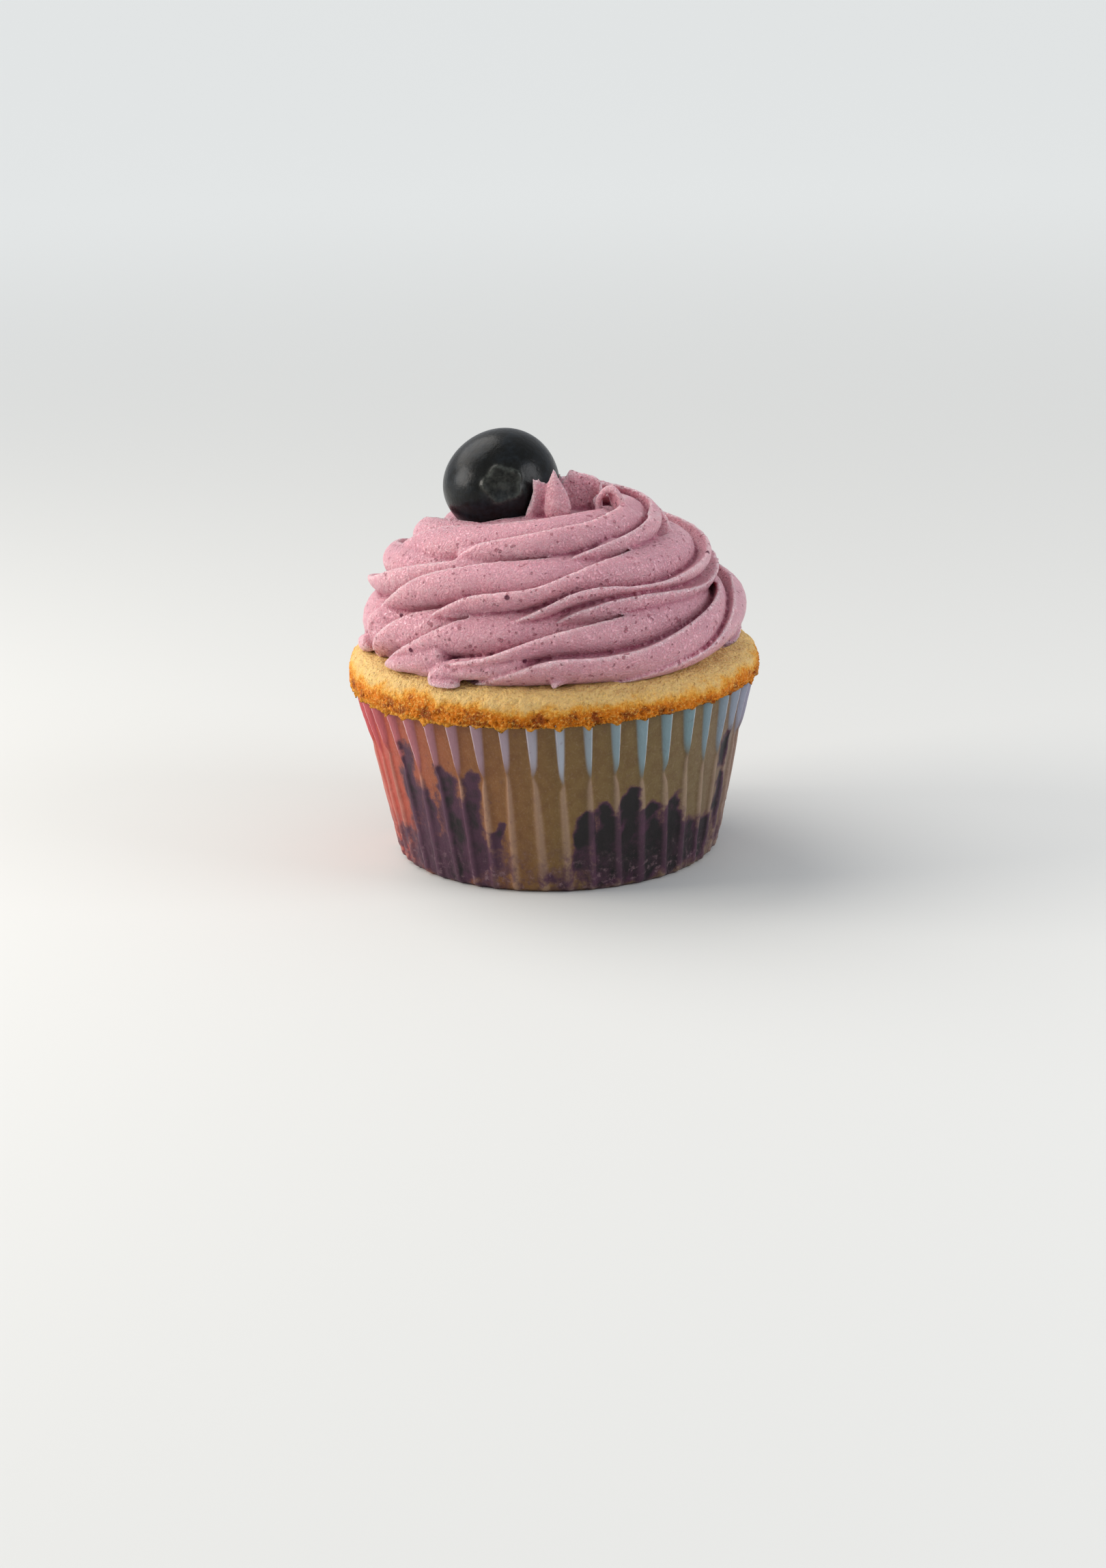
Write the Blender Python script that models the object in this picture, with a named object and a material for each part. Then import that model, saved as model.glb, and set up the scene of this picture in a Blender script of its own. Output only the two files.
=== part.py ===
# A cupcake in its pleated paper case: sponge with a browned, overhanging crust, a piped
# swirl of icing and one berry on top.
# Lengths are in metres. The case stands on z = 0 about the vertical axis x = y = 0,
# and the front of the cupcake looks along -Y.

import math
import random

import bmesh
import bpy
import numpy as np
from mathutils import Matrix, Vector

GAP = 0.0003                   # air left between neighbouring pieces

# Paper case
PLEATS = 46
FIRST_FOLD = math.radians(1.0)     # where the first fold stands, right of the front
CASE_HEIGHT = 0.0292
RIM_TILT = 0.0009              # the rim stands higher on the right, lower on the left
RIM_TILT_TURN = math.radians(10)
PAPER = 0.0004
FLAT_RADIUS_FLOOR = 0.0256     # radius of the flats between the folds
FLAT_RADIUS_RIM = 0.0315
FOLD_STEPS = (                 # height, how far the fold stands out, its width
    (0.0000, 0.0002, 0.0010),
    (0.0008, 0.0005, 0.0014),
    (0.0192, 0.0005, 0.0008),
    (0.0292, 0.0011, 0.0017),
)
FLOOR_EDGE_ROUND = 0.0006      # how far the lowest edge is drawn in
FOLD_FLANK = 0.0004            # width of a fold's sloping side

# Cake
CAKE_SEGMENTS = 2 * PLEATS
CRUST_RADIUS = 0.0334
CRUST_HEIGHT = 0.0312          # height of the widest line of the crust
CRUST_ROUND = (0.0028, 0.0030)     # how far its upper edge is rounded, inwards and upwards
CRUST_LIP_DROP = 0.0005        # how far the lip hangs below the paper's rim
CRUST_LIP_WAVE = 0.0005        # its scallops, one over each fold
CRUST_UNEVEN = 0.0003
CRUST_ANGLES = (-20, 5, 35, 60)    # where its round edge has points, in degrees
CAKE_FOOT = 0.0014             # height of the foot's rounding
LEDGE_MARGIN = 0.0001
DOME_TOP = 0.0364
DOME_RISE = 0.0022
DOME_RADII = (0.0250, 0.0180, 0.0110, 0.0050)

# Icing: one rope squeezed out of a star tip, wound inwards and upwards
LOBES = 6
LOBE_DEPTH = 0.42              # depth of the grooves, as a share of the rope's half width
LOBE_SAMPLES = 9
ROPE_TURNS = 2.82
ROPE_STEPS = 330
ROPE_START = math.radians(-74)     # from the front, towards the right
ROPE_KNOTS = (                 # turn, radius of the winding, height, half width, half height
    (0.00, 0.0222, 0.0384, 0.0088, 0.0064),
    (0.10, 0.0224, 0.0386, 0.0094, 0.0069),
    (0.50, 0.0230, 0.0388, 0.0092, 0.0067),
    (0.62, 0.0230, 0.0396, 0.0092, 0.0065),
    (0.78, 0.0222, 0.0426, 0.0089, 0.0063),
    (0.92, 0.0212, 0.0449, 0.0086, 0.0061),
    (1.05, 0.0202, 0.0459, 0.0087, 0.0060),
    (1.25, 0.0194, 0.0463, 0.0086, 0.0060),
    (1.50, 0.0182, 0.0470, 0.0082, 0.0059),
    (1.80, 0.0170, 0.0488, 0.0082, 0.0055),
    (1.97, 0.0162, 0.0495, 0.0088, 0.0050),
    (2.20, 0.0132, 0.0522, 0.0074, 0.0052),
    (2.42, 0.0112, 0.0529, 0.0064, 0.0050),
    (2.68, 0.0063, 0.0552, 0.0046, 0.0046),
    (2.82, 0.0030, 0.0570, 0.0030, 0.0040),
)
TOP_DRIFT = Vector((0.0024, -0.0006))      # the last turns lie a little to the right
DRIFT_TURNS = (1.7, 2.7)
LOBE_CLIMB = 0.97              # turns that the lobes make round the rope in one winding
START_CLIMB = math.radians(150)    # the extra turn while the rope first lands
START_CLIMB_TURNS = 0.08
LOBE_PHASE = math.radians(-135)
LOBE_SWAYS = (                 # for each lobe: turn, and how many degrees further round it lies
    ((0.00, 0), (0.11, -7), (0.15, -20), (0.20, -16), (0.24, -21), (0.29, -31), (0.33, -35),
     (0.38, -48), (0.80, -60), (1.00, -65), (1.07, -50), (1.10, -26), (1.13, -11), (1.19, -20),
     (1.22, -12), (1.25, -5), (1.30, -7), (1.35, -14), (1.39, -30), (1.43, -52), (1.55, -55),
     (1.85, -20), (2.04, -28), (2.07, -10), (2.10, 29), (2.16, 22), (2.21, 13), (2.25, 4),
     (2.34, 0), (2.41, -17)),
    ((0.00, 30), (0.02, 14), (0.04, -7), (0.08, -16), (0.12, -11), (0.15, -17), (0.20, -28),
     (0.24, -48), (0.28, -60), (0.85, -55), (0.93, -64), (0.97, -74), (1.01, -71), (1.04, -57),
     (1.06, -37), (1.08, -25), (1.13, -16), (1.17, -19), (1.24, -28), (1.40, -50), (1.55, -55),
     (1.85, -15), (1.97, -8), (2.01, 38), (2.06, 28), (2.10, 19), (2.16, 4), (2.21, -9),
     (2.30, -15)),
    ((0.00, -10), (0.04, -15), (0.07, -22), (0.10, -38), (0.20, -50), (0.50, -60), (0.88, -75),
     (0.99, -86), (1.04, -72), (1.08, -66), (1.12, -55), (1.55, -55), (1.85, -15), (2.00, 20),
     (2.10, 20), (2.20, 0)),
    ((0.00, 0), (0.50, -10), (0.85, -70), (1.00, -80), (1.10, -60), (1.55, -55), (1.85, -15),
     (2.00, 10), (2.20, 0)),
    ((0.00, 0), (0.34, 0), (0.38, 18), (0.40, 24), (0.43, 27), (0.48, 10), (0.55, -5),
     (0.85, -65), (1.00, -60), (1.10, -20), (1.18, 15), (1.22, 50), (1.26, 52), (1.30, 38),
     (1.34, 17), (1.38, -5), (1.42, -15), (1.48, -25), (1.55, -45), (1.85, -15), (2.10, 0)),
    ((0.00, 0), (0.15, 5), (0.20, 12), (0.22, 3), (0.24, -8), (0.28, -18), (0.33, -15),
     (0.43, -14), (0.50, -10), (0.85, -62), (1.00, -62), (1.10, -30), (1.18, 0), (1.22, 20),
     (1.25, 17), (1.28, -1), (1.32, -17), (1.39, -31), (1.48, -43), (1.55, -52), (1.85, -15),
     (2.10, 0), (2.20, 8), (2.23, 14), (2.27, 13), (2.32, 8), (2.36, 6), (2.41, -1),
     (2.60, -5)),
)
SWAY_SMOOTHING = 3
SKIRT_LOBE = 5                 # its first winding is a smooth skirt along the cake
SKIRT_TURN = 0.29
SKIRT_LENGTH = 0.13
SKIRT_SHARE = 0.85             # how much of the groove the skirt fills
GROOVE_SHARE = 0.14            # part of a lobe's width that is the steep groove side
LOBE_LEAN = 0.25               # how far a crest leans over the groove above it
ROPE_SMOOTHING = 14            # steps on each side over which the knots are blended
ICING_CORE = (                 # radius and height of the filling behind the rope
    (0.0000, 0.0300), (0.0275, 0.0300), (0.0275, 0.0385),
    (0.0242, 0.0458), (0.0185, 0.0522), (0.0090, 0.0552), (0.0000, 0.0560),
)
ICING_VOXEL = 0.00045
ICING_TRIANGLES = 7000
CUTTER_MARGIN = 0.005          # how far below the icing its trimming body starts

# Curled ends of lobes: turn in degrees, radius, height and half thickness along each
TONGUES = (
    ((-8, 0.0288, 0.0382, 0.0017), (-14, 0.0292, 0.0376, 0.0018),
     (-22.5, 0.0296, 0.0369, 0.0018), (-30.5, 0.0300, 0.0365, 0.0016),
     (-36, 0.0307, 0.0356, 0.0013), (-37, 0.0312, 0.0344, 0.0009),
     (-33, 0.0313, 0.0341, 0.0011), (-28, 0.0308, 0.0344, 0.0009)),
    ((-60, 0.0304, 0.0348, 0.0005), (-54, 0.0302, 0.0356, 0.0013),
     (-49, 0.0294, 0.0364, 0.0021), (-42, 0.0284, 0.0374, 0.0029),
     (-34, 0.0274, 0.0384, 0.0034)),
    ((-57, 0.0284, 0.0392, 0.0018), (-50, 0.0276, 0.0405, 0.0024),
     (-43, 0.0270, 0.0416, 0.0023), (-37, 0.0262, 0.0424, 0.0016)),
    ((-93, 0.0306, 0.0346, 0.0009), (-84, 0.0300, 0.0352, 0.0014),
     (-76, 0.0296, 0.0366, 0.0016)),
    ((-37, 0.0279, 0.0439, 0.0004), (-35.5, 0.0273, 0.0446, 0.0011),
     (-31, 0.0262, 0.0451, 0.0016), (-25, 0.0250, 0.0454, 0.0017)),
    ((-45, 0.0200, 0.0514, 0.0013), (-38, 0.0195, 0.0519, 0.0015),
     (-28, 0.0187, 0.0522, 0.0015)),
    ((-0.3, 0.0307, 0.0343, 0.0003), (-0.1, 0.0302, 0.0350, 0.0007),
     (2, 0.0293, 0.0358, 0.0013), (7.5, 0.0280, 0.0366, 0.0016)),
    ((-168, 0.0245, 0.0360, 0.0015), (-145, 0.0248, 0.0372, 0.0042),
     (-115, 0.0252, 0.0382, 0.0052), (-85, 0.0250, 0.0386, 0.0056),
     (-60, 0.0246, 0.0386, 0.0050)),
)
TONGUE_STEPS = 14
TONGUE_SIDES = 12
TONGUE_SMOOTHING = 1
TONGUE_END = 0.5               # share of its thickness that the first and last ring have

# Petals torn up where the tip was pulled away: foot, tip, width, thickness, twist
PETALS = (
    (Vector((0.0011, -0.0052, 0.0540)), Vector((0.0007, -0.0048, 0.0628)), 0.0046, 0.0038, 0.0),
    (Vector((0.0052, 0.0000, 0.0535)), Vector((0.0037, 0.0000, 0.0622)), 0.0066, 0.0024, 0.1),
    (Vector((-0.0016, -0.0050, 0.0540)), Vector((-0.0023, -0.0049, 0.0614)), 0.0030, 0.0016, 0.0),
)

# Berry
BERRY_CENTRE = Vector((-0.0076, 0.0040, 0.0592))
BERRY_RADIUS = 0.0094
BERRY_FLATTEN = 0.93           # height over width
BERRY_SEGMENTS = 28
BERRY_RINGS = 14
CROWN_AIM = Vector((0.02, -0.96, 0.18))    # where the crown on the berry looks
CROWN_RADIUS = 0.0029
CROWN_RISE = 0.0005
CROWN_EDGE = 0.0007            # width of its rim
CROWN_WAVE = 0.16              # how far its points reach, as a share of its radius
BERRY_UNEVEN = 0.02
CROWN_POINTS = 5


def clear_scene():
    for thing in list(bpy.data.objects):
        bpy.data.objects.remove(thing)


def add_material(thing, name, colour, roughness):
    material = bpy.data.materials.new(name)
    material.use_nodes = True
    shader = material.node_tree.nodes["Principled BSDF"]
    shader.inputs["Base Color"].default_value = (*colour, 1.0)
    shader.inputs["Roughness"].default_value = roughness
    shader.inputs["Metallic"].default_value = 0.0
    thing.data.materials.clear()
    thing.data.materials.append(material)


def add_mesh(name, points, faces):
    mesh = bpy.data.meshes.new(name)
    mesh.from_pydata([tuple(point) for point in points], [], faces)
    mesh.update()
    thing = bpy.data.objects.new(name, mesh)
    bpy.context.scene.collection.objects.link(thing)
    return thing


def face_outwards(thing):
    work = bmesh.new()
    work.from_mesh(thing.data)
    bmesh.ops.recalc_face_normals(work, faces=work.faces)
    work.to_mesh(thing.data)
    work.free()


def shade_round(thing, sharp_angle):
    thing.data.shade_smooth()
    thing.data.set_sharp_from_angle(angle=sharp_angle)


def ease(x):
    x = np.clip(x, 0.0, 1.0)
    return x * x * (3.0 - 2.0 * x)


def shoulder_radius():
    return CRUST_RADIUS - CRUST_ROUND[0]


def dome_height(radius):
    return DOME_TOP - DOME_RISE * (radius / shoulder_radius()) ** 2


def rim_lift(height, turn):
    share = min(1.0, height / CASE_HEIGHT) ** 3
    return share * RIM_TILT * math.sin(turn - RIM_TILT_TURN)


def flat_radius(height):
    share = height / CASE_HEIGHT
    return FLAT_RADIUS_FLOOR + (FLAT_RADIUS_RIM - FLAT_RADIUS_FLOOR) * share


# A closed mesh from rings of points. The first and last ring close on a point of their own.
def skin_rings(name, rings, first_point, last_point):
    count = len(rings[0])
    points = [point for ring in rings for point in ring]
    faces = []
    for row in range(len(rings) - 1):
        for i in range(count):
            a = row * count + i
            b = row * count + (i + 1) % count
            faces.append((a, b, b + count, a + count))
    first, last = len(points), len(points) + 1
    points += [first_point, last_point]
    top = (len(rings) - 1) * count
    for i in range(count):
        following = (i + 1) % count
        faces.append((first, following, i))
        faces.append((last, top + i, top + following))
    thing = add_mesh(name, points, faces)
    face_outwards(thing)
    return thing


def round_ring(radius, height, segments):
    ring = []
    for i in range(segments):
        turn = 2.0 * math.pi * i / segments
        ring.append((radius * math.sin(turn), -radius * math.cos(turn), height))
    return ring


# One level of the pleated wall: four points to a pleat, two on the fold and two in the flat.
def pleat_ring(height, fold_height, fold_width, inset):
    flat = flat_radius(height) - inset
    fold = flat + fold_height
    ring = []
    for pleat in range(PLEATS):
        middle = FIRST_FOLD + 2.0 * math.pi * pleat / PLEATS
        crown = 0.5 * fold_width / fold
        foot = crown + FOLD_FLANK / fold
        for angle, radius in ((-foot, flat), (-crown, fold), (crown, fold), (foot, flat)):
            turn = middle + angle
            level = height + rim_lift(height, turn)
            ring.append((radius * math.sin(turn), -radius * math.cos(turn), level))
    return ring


def make_paper_case():
    outside = []
    for height, fold_height, fold_width in FOLD_STEPS:
        inset = FLOOR_EDGE_ROUND if height == 0.0 else 0.0
        outside.append(pleat_ring(height, fold_height, fold_width, inset))
    inside = []
    for height, fold_height, fold_width in reversed(FOLD_STEPS[1:]):
        level = max(height, PAPER) if height > FOLD_STEPS[1][0] else PAPER
        inset = PAPER if level > PAPER else PAPER + 0.5 * FLOOR_EDGE_ROUND
        inside.append(pleat_ring(level, fold_height, fold_width, inset))
    case = skin_rings("paper_case", outside + inside, (0.0, 0.0, 0.0), (0.0, 0.0, PAPER))
    add_material(case, "baking paper", (0.62, 0.47, 0.50), 0.55)
    return case


# Rings of the cake from the middle of its underside, up the side, round the lip and over
# the dome: radius, height, share of the rim's tilt, share of the crust's unevenness.
def cake_profile():
    floor = PAPER + GAP
    inset = PAPER + GAP
    ledge = CASE_HEIGHT + GAP
    clear = flat_radius(CASE_HEIGHT) + FOLD_STEPS[-1][1] + GAP + LEDGE_MARGIN
    rows = [
        (flat_radius(floor) - inset - FLOOR_EDGE_ROUND, floor, 0.0, 0.0),
        (flat_radius(CAKE_FOOT) - inset, CAKE_FOOT, 0.0, 0.0),
        (flat_radius(CASE_HEIGHT) - inset, ledge, 1.0, 0.0),
        (clear, ledge, 1.0, 0.0),
        (clear, ledge - CRUST_LIP_DROP, 1.0, 0.0),
        (CRUST_RADIUS - 2.0 * LEDGE_MARGIN, ledge - CRUST_LIP_DROP, 1.0, 0.5),
    ]
    shoulder = shoulder_radius()
    for angle in CRUST_ANGLES:
        out = shoulder + CRUST_ROUND[0] * math.cos(math.radians(angle))
        up = CRUST_HEIGHT + CRUST_ROUND[1] * math.sin(math.radians(angle))
        rows.append((out, up, 0.5 * (angle < 0), 1.0))
    for radius in (shoulder,) + DOME_RADII:
        rows.append((radius, dome_height(radius), 0.0, 0.0))
    return rows


def make_cake():
    rng = random.Random(7)
    wobble = [rng.uniform(-1.0, 1.0) for _ in range(CAKE_SEGMENTS)]
    lip_depth = [rng.uniform(0.3, 1.0) for _ in range(CAKE_SEGMENTS)]
    rings = []
    for row, (radius, height, tilt, uneven) in enumerate(cake_profile()):
        ring = []
        for i in range(CAKE_SEGMENTS):
            turn = FIRST_FOLD + 2.0 * math.pi * i / CAKE_SEGMENTS
            out = radius - uneven * CRUST_UNEVEN * (0.5 + 0.5 * wobble[i])
            level = height + tilt * rim_lift(CASE_HEIGHT, turn)
            level += uneven * CRUST_UNEVEN * wobble[(i + 3 * row) % CAKE_SEGMENTS]
            if row in (4, 5):
                scallop = 1.0 if i % 2 == 0 else -0.4
                level -= CRUST_LIP_WAVE * scallop * lip_depth[i]
            ring.append((out * math.sin(turn), -out * math.cos(turn), level))
        rings.append(ring)
    floor = PAPER + GAP
    cake = skin_rings("cake", rings, (0.0, 0.0, floor), (0.0, 0.0, DOME_TOP))
    shade_round(cake, math.radians(50))
    add_material(cake, "sponge", (0.62, 0.36, 0.12), 0.8)
    return cake


def blend(values, reach):
    window = np.hanning(2 * reach + 3)[1:-1]
    padded = np.pad(values, reach, mode="reflect", reflect_type="odd")
    return np.convolve(padded, window / window.sum(), "valid")


def rope_knots(turn, column):
    turns = [knot[0] for knot in ROPE_KNOTS]
    values = [knot[column] for knot in ROPE_KNOTS]
    return blend(np.interp(turn, turns, values), ROPE_SMOOTHING)


# How far each lobe lies from its even place round the rope, in radians, at each step.
def lobe_sways(turn):
    columns = []
    for sway in LOBE_SWAYS:
        turns, degrees = zip(*sway)
        columns.append(blend(np.radians(np.interp(turn, turns, degrees)), SWAY_SMOOTHING))
    return np.stack(columns, axis=1)


# How far each point of the rope's section stands out, 0 in a groove and 1 on a crest.
# The steep side lies just above a crest, and the broad face swells up to the next one.
def lobe_shape():
    steep = np.linspace(0.0, GROOVE_SHARE, 3, endpoint=False)
    broad = np.linspace(GROOVE_SHARE, 1.0, LOBE_SAMPLES - 3, endpoint=False)
    falling = 1.0 - ease(steep / GROOVE_SHARE)
    rising = np.sin(0.5 * math.pi * (broad - GROOVE_SHARE) / (1.0 - GROOVE_SHARE)) ** 0.8
    return np.concatenate([steep, broad]), np.concatenate([falling, rising])


def make_rope():
    turn = np.linspace(0.0, ROPE_TURNS, ROPE_STEPS)
    heading = ROPE_START - 0.5 * math.pi + 2.0 * math.pi * turn
    winding, height, half_width, half_height = (rope_knots(turn, column) for column in (1, 2, 3, 4))
    climb = 2.0 * math.pi * LOBE_CLIMB * turn + LOBE_PHASE
    climb += START_CLIMB * (1.0 - np.exp(-turn / START_CLIMB_TURNS))
    drift = ease((turn - DRIFT_TURNS[0]) / (DRIFT_TURNS[1] - DRIFT_TURNS[0]))
    share, stand = lobe_shape()
    sway = lobe_sways(turn)
    skirt = SKIRT_SHARE * np.exp(-((turn - SKIRT_TURN) / SKIRT_LENGTH) ** 2)
    rings = []
    for i in range(ROPE_STEPS):
        out = np.array((math.cos(heading[i]), math.sin(heading[i])))
        middle = np.array(TOP_DRIFT) * drift[i] + winding[i] * out
        ring = []
        for lobe in range(LOBES):
            start = climb[i] + 2.0 * math.pi * lobe / LOBES
            around = start + 2.0 * math.pi / LOBES * (share + LOBE_LEAN * (stand - 0.4))
            around += sway[i][lobe] * share + sway[i][lobe - 1] * (1.0 - share)
            depth = LOBE_DEPTH * (1.0 - skirt[i] * (lobe == SKIRT_LOBE))
            reach = 1.0 - depth * (1.0 - stand)
            sideways = reach * half_width[i] * np.sin(around)
            upwards = -reach * half_height[i] * np.cos(around)
            for side, up in zip(sideways, upwards):
                x, y = middle + side * out
                ring.append((x, y, height[i] + up))
        rings.append(ring)
    first = tuple(np.mean(rings[0], axis=0))
    last = tuple(np.mean(rings[-1], axis=0))
    return skin_rings("rope", rings, first, last)


def make_core():
    rings = [round_ring(radius, height, PLEATS) for radius, height in ICING_CORE[1:-1]]
    foot, top = ICING_CORE[0], ICING_CORE[-1]
    return skin_rings("core", rings, (0.0, 0.0, foot[1]), (0.0, 0.0, top[1]))


# A pulled-up petal of icing: a flat blade, widest low down, that ends in a tip.
def make_petal(foot, tip, width, thickness, twist):
    rings = []
    steps, sides = 9, 14
    for step in range(steps):
        along = step / (steps - 1)
        spread = math.sin(math.pi * min(1.0, 0.35 + 0.65 * along)) ** 0.8 * (1.0 - along) + 0.06
        middle = foot.lerp(tip, along)
        ring = []
        for i in range(sides):
            turn = 2.0 * math.pi * i / sides
            across = Vector((spread * width * math.cos(turn), 0.7 * spread * thickness * math.sin(turn), 0.0))
            ring.append(tuple(middle + Matrix.Rotation(twist, 3, "Z") @ across))
        rings.append(ring)
    return skin_rings("petal", rings, tuple(foot), tuple(tip))


# The curled end of a lobe: a round tube along a few points, closed at both ends.
def make_tongue(points):
    turns, radii, heights, halves = np.array(points).T
    knots = np.stack([radii * np.sin(np.radians(turns)), -radii * np.cos(np.radians(turns)),
                      heights, halves])
    at = np.linspace(0.0, len(points) - 1.0, TONGUE_STEPS)
    rows = [np.interp(at, np.arange(len(points)), row) for row in knots]
    x, y, z, half = (blend(row, TONGUE_SMOOTHING) for row in rows)
    path = np.stack([x, y, z], axis=1)
    along = np.gradient(path, axis=0)
    along /= np.linalg.norm(along, axis=1)[:, None]
    side = np.cross(along, (0.0, 0.0, 1.0))
    side /= np.linalg.norm(side, axis=1)[:, None]
    upwards = np.cross(side, along)
    rings = []
    for i in range(TONGUE_STEPS):
        reach = half[i] * (TONGUE_END if i in (0, TONGUE_STEPS - 1) else 1.0)
        turn = 2.0 * math.pi * np.arange(TONGUE_SIDES)[:, None] / TONGUE_SIDES
        ring = path[i] + reach * (side[i] * np.cos(turn) + upwards[i] * np.sin(turn))
        rings.append([tuple(point) for point in ring])
    return skin_rings("tongue", rings, tuple(path[0]), tuple(path[-1]))


def join(things):
    with bpy.context.temp_override(active_object=things[0], selected_editable_objects=things):
        bpy.ops.object.join()
    return things[0]


def apply_modifiers(thing):
    graph = bpy.context.evaluated_depsgraph_get()
    mesh = bpy.data.meshes.new_from_object(thing.evaluated_get(graph))
    thing.modifiers.clear()
    thing.data = mesh


# The cake's top a gap higher, closed below, which trims the underside of the icing.
def make_dome_cutter():
    foot = ICING_CORE[0][1] - CUTTER_MARGIN
    rings = [round_ring(CRUST_RADIUS, foot, PLEATS)]
    for radius, height, _, uneven in cake_profile()[7:]:
        rings.append(round_ring(radius + GAP * uneven, height + GAP * (1.0 + uneven), PLEATS))
    return skin_rings("dome cutter", rings, (0.0, 0.0, foot), (0.0, 0.0, DOME_TOP + GAP))


# The berry a gap larger all round.
def make_berry_cutter(berry):
    cutter = berry.copy()
    cutter.data = berry.data.copy()
    bpy.context.scene.collection.objects.link(cutter)
    for vertex in cutter.data.vertices:
        vertex.co += vertex.normal * GAP
    return cutter


def cut_away(thing, cutter):
    cutter.hide_render = True
    cutter.display_type = "WIRE"
    cut = thing.modifiers.new("clearance", "BOOLEAN")
    cut.operation = "DIFFERENCE"
    cut.solver = "MANIFOLD"    # the exact solver loses this body
    cut.object = cutter
    bpy.context.view_layer.update()
    apply_modifiers(thing)
    bpy.data.objects.remove(cutter)


# The cutters can leave a crumb of icing behind, which is dropped.
def keep_largest_body(thing):
    work = bmesh.new()
    work.from_mesh(thing.data)
    left = set(work.verts)
    bodies = []
    while left:
        body = [left.pop()]
        for vertex in body:
            for edge in vertex.link_edges:
                other = edge.other_vert(vertex)
                if other in left:
                    left.remove(other)
                    body.append(other)
        bodies.append(body)
    bodies.sort(key=len)
    for body in bodies[:-1]:
        bmesh.ops.delete(work, geom=body, context="VERTS")
    work.to_mesh(thing.data)
    work.free()


def make_icing(berry):
    ends = [make_petal(*petal) for petal in PETALS] + [make_tongue(points) for points in TONGUES]
    icing = join([make_rope(), make_core()] + ends)
    icing.name = "icing"
    remesh = icing.modifiers.new("one body", "REMESH")
    remesh.mode = "VOXEL"
    remesh.voxel_size = ICING_VOXEL
    apply_modifiers(icing)
    reduce = icing.modifiers.new("fewer faces", "DECIMATE")
    reduce.ratio = ICING_TRIANGLES / (2.0 * len(icing.data.polygons))
    apply_modifiers(icing)
    cut_away(icing, make_dome_cutter())
    cut_away(icing, make_berry_cutter(berry))
    keep_largest_body(icing)
    shade_round(icing, math.radians(60))
    add_material(icing, "berry icing", (0.56, 0.24, 0.33), 0.6)
    return icing


# The berry is a slightly squat ball. Round its aim it has a five-pointed raised crown
# with a shallow dish inside.
def make_berry():
    aim = CROWN_AIM.normalized()
    across = aim.cross(Vector((0.0, 0.0, 1.0))).normalized()
    upwards = across.cross(aim)
    rings = []
    for row in range(1, BERRY_RINGS):
        polar = math.pi * (row / BERRY_RINGS) ** 1.25
        ring = []
        for i in range(BERRY_SEGMENTS):
            turn = 2.0 * math.pi * i / BERRY_SEGMENTS
            radius = BERRY_RADIUS * (1.0 + BERRY_UNEVEN * math.cos(3.0 * turn + 0.6) * math.sin(polar))
            edge = CROWN_RADIUS * (1.0 + CROWN_WAVE * math.cos(CROWN_POINTS * turn))
            off_axis = radius * math.sin(polar)
            radius += CROWN_RISE * math.exp(-((off_axis - edge) / CROWN_EDGE) ** 2) * (polar < 1.0)
            radius -= CROWN_RISE * math.exp(-(off_axis / (0.6 * edge)) ** 2) * (polar < 1.0)
            side = across * math.cos(turn) + upwards * math.sin(turn)
            point = radius * (aim * math.cos(polar) + side * math.sin(polar))
            point.z *= BERRY_FLATTEN
            ring.append(tuple(BERRY_CENTRE + point))
        rings.append(ring)
    dish = BERRY_CENTRE + aim * (BERRY_RADIUS - CROWN_RISE)
    back = BERRY_CENTRE - aim * BERRY_RADIUS
    berry = skin_rings("berry", rings, tuple(dish), tuple(back))
    shade_round(berry, math.radians(70))
    add_material(berry, "berry skin", (0.012, 0.014, 0.02), 0.35)
    return berry


def main():
    clear_scene()
    make_paper_case()
    make_cake()
    make_icing(make_berry())


main()
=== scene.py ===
import math

import bmesh
import bpy
import numpy as np
from mathutils import Matrix, Vector, noise


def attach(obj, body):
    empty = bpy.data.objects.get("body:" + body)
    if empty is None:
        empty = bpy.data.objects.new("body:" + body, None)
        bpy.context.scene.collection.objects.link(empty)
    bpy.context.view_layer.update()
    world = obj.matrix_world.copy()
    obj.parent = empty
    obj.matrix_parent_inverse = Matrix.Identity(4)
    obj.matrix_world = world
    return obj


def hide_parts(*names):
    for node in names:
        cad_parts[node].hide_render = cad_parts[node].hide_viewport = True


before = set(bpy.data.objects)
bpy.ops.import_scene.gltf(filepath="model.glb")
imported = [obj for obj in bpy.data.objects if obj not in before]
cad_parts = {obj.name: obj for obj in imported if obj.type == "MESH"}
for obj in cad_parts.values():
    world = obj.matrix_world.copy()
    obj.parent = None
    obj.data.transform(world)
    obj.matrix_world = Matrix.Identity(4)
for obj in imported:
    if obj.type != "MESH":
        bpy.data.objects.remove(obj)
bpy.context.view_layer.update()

mm = 0.001


def ease(x):
    x = np.clip(x, 0.0, 1.0)
    return x * x * (3.0 - 2.0 * x)


def bell(x):
    return np.exp(-np.square(x))


def angleBetween(a, b):    # from b to a the short way round
    return (a - b + 180.0) % 360.0 - 180.0


# Smooth random values, one for each point, about -1 to 1. size is that of the blobs.
def cloud(points, size, octaves=3, seed=0.0):
    places = np.asarray(points).reshape(-1, 3) / size + seed
    values = [noise.fractal(place, 0.7, 2.1, octaves) for place in places.tolist()]
    return np.array(values).reshape(np.shape(points)[:-1])


circleTurns = np.arange(96) * 3.75


def around(radius, turn, height):
    turn = np.radians(turn)
    x, y = radius * np.sin(turn), -radius * np.cos(turn)
    return np.stack(np.broadcast_arrays(x, y, height), -1)


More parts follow.
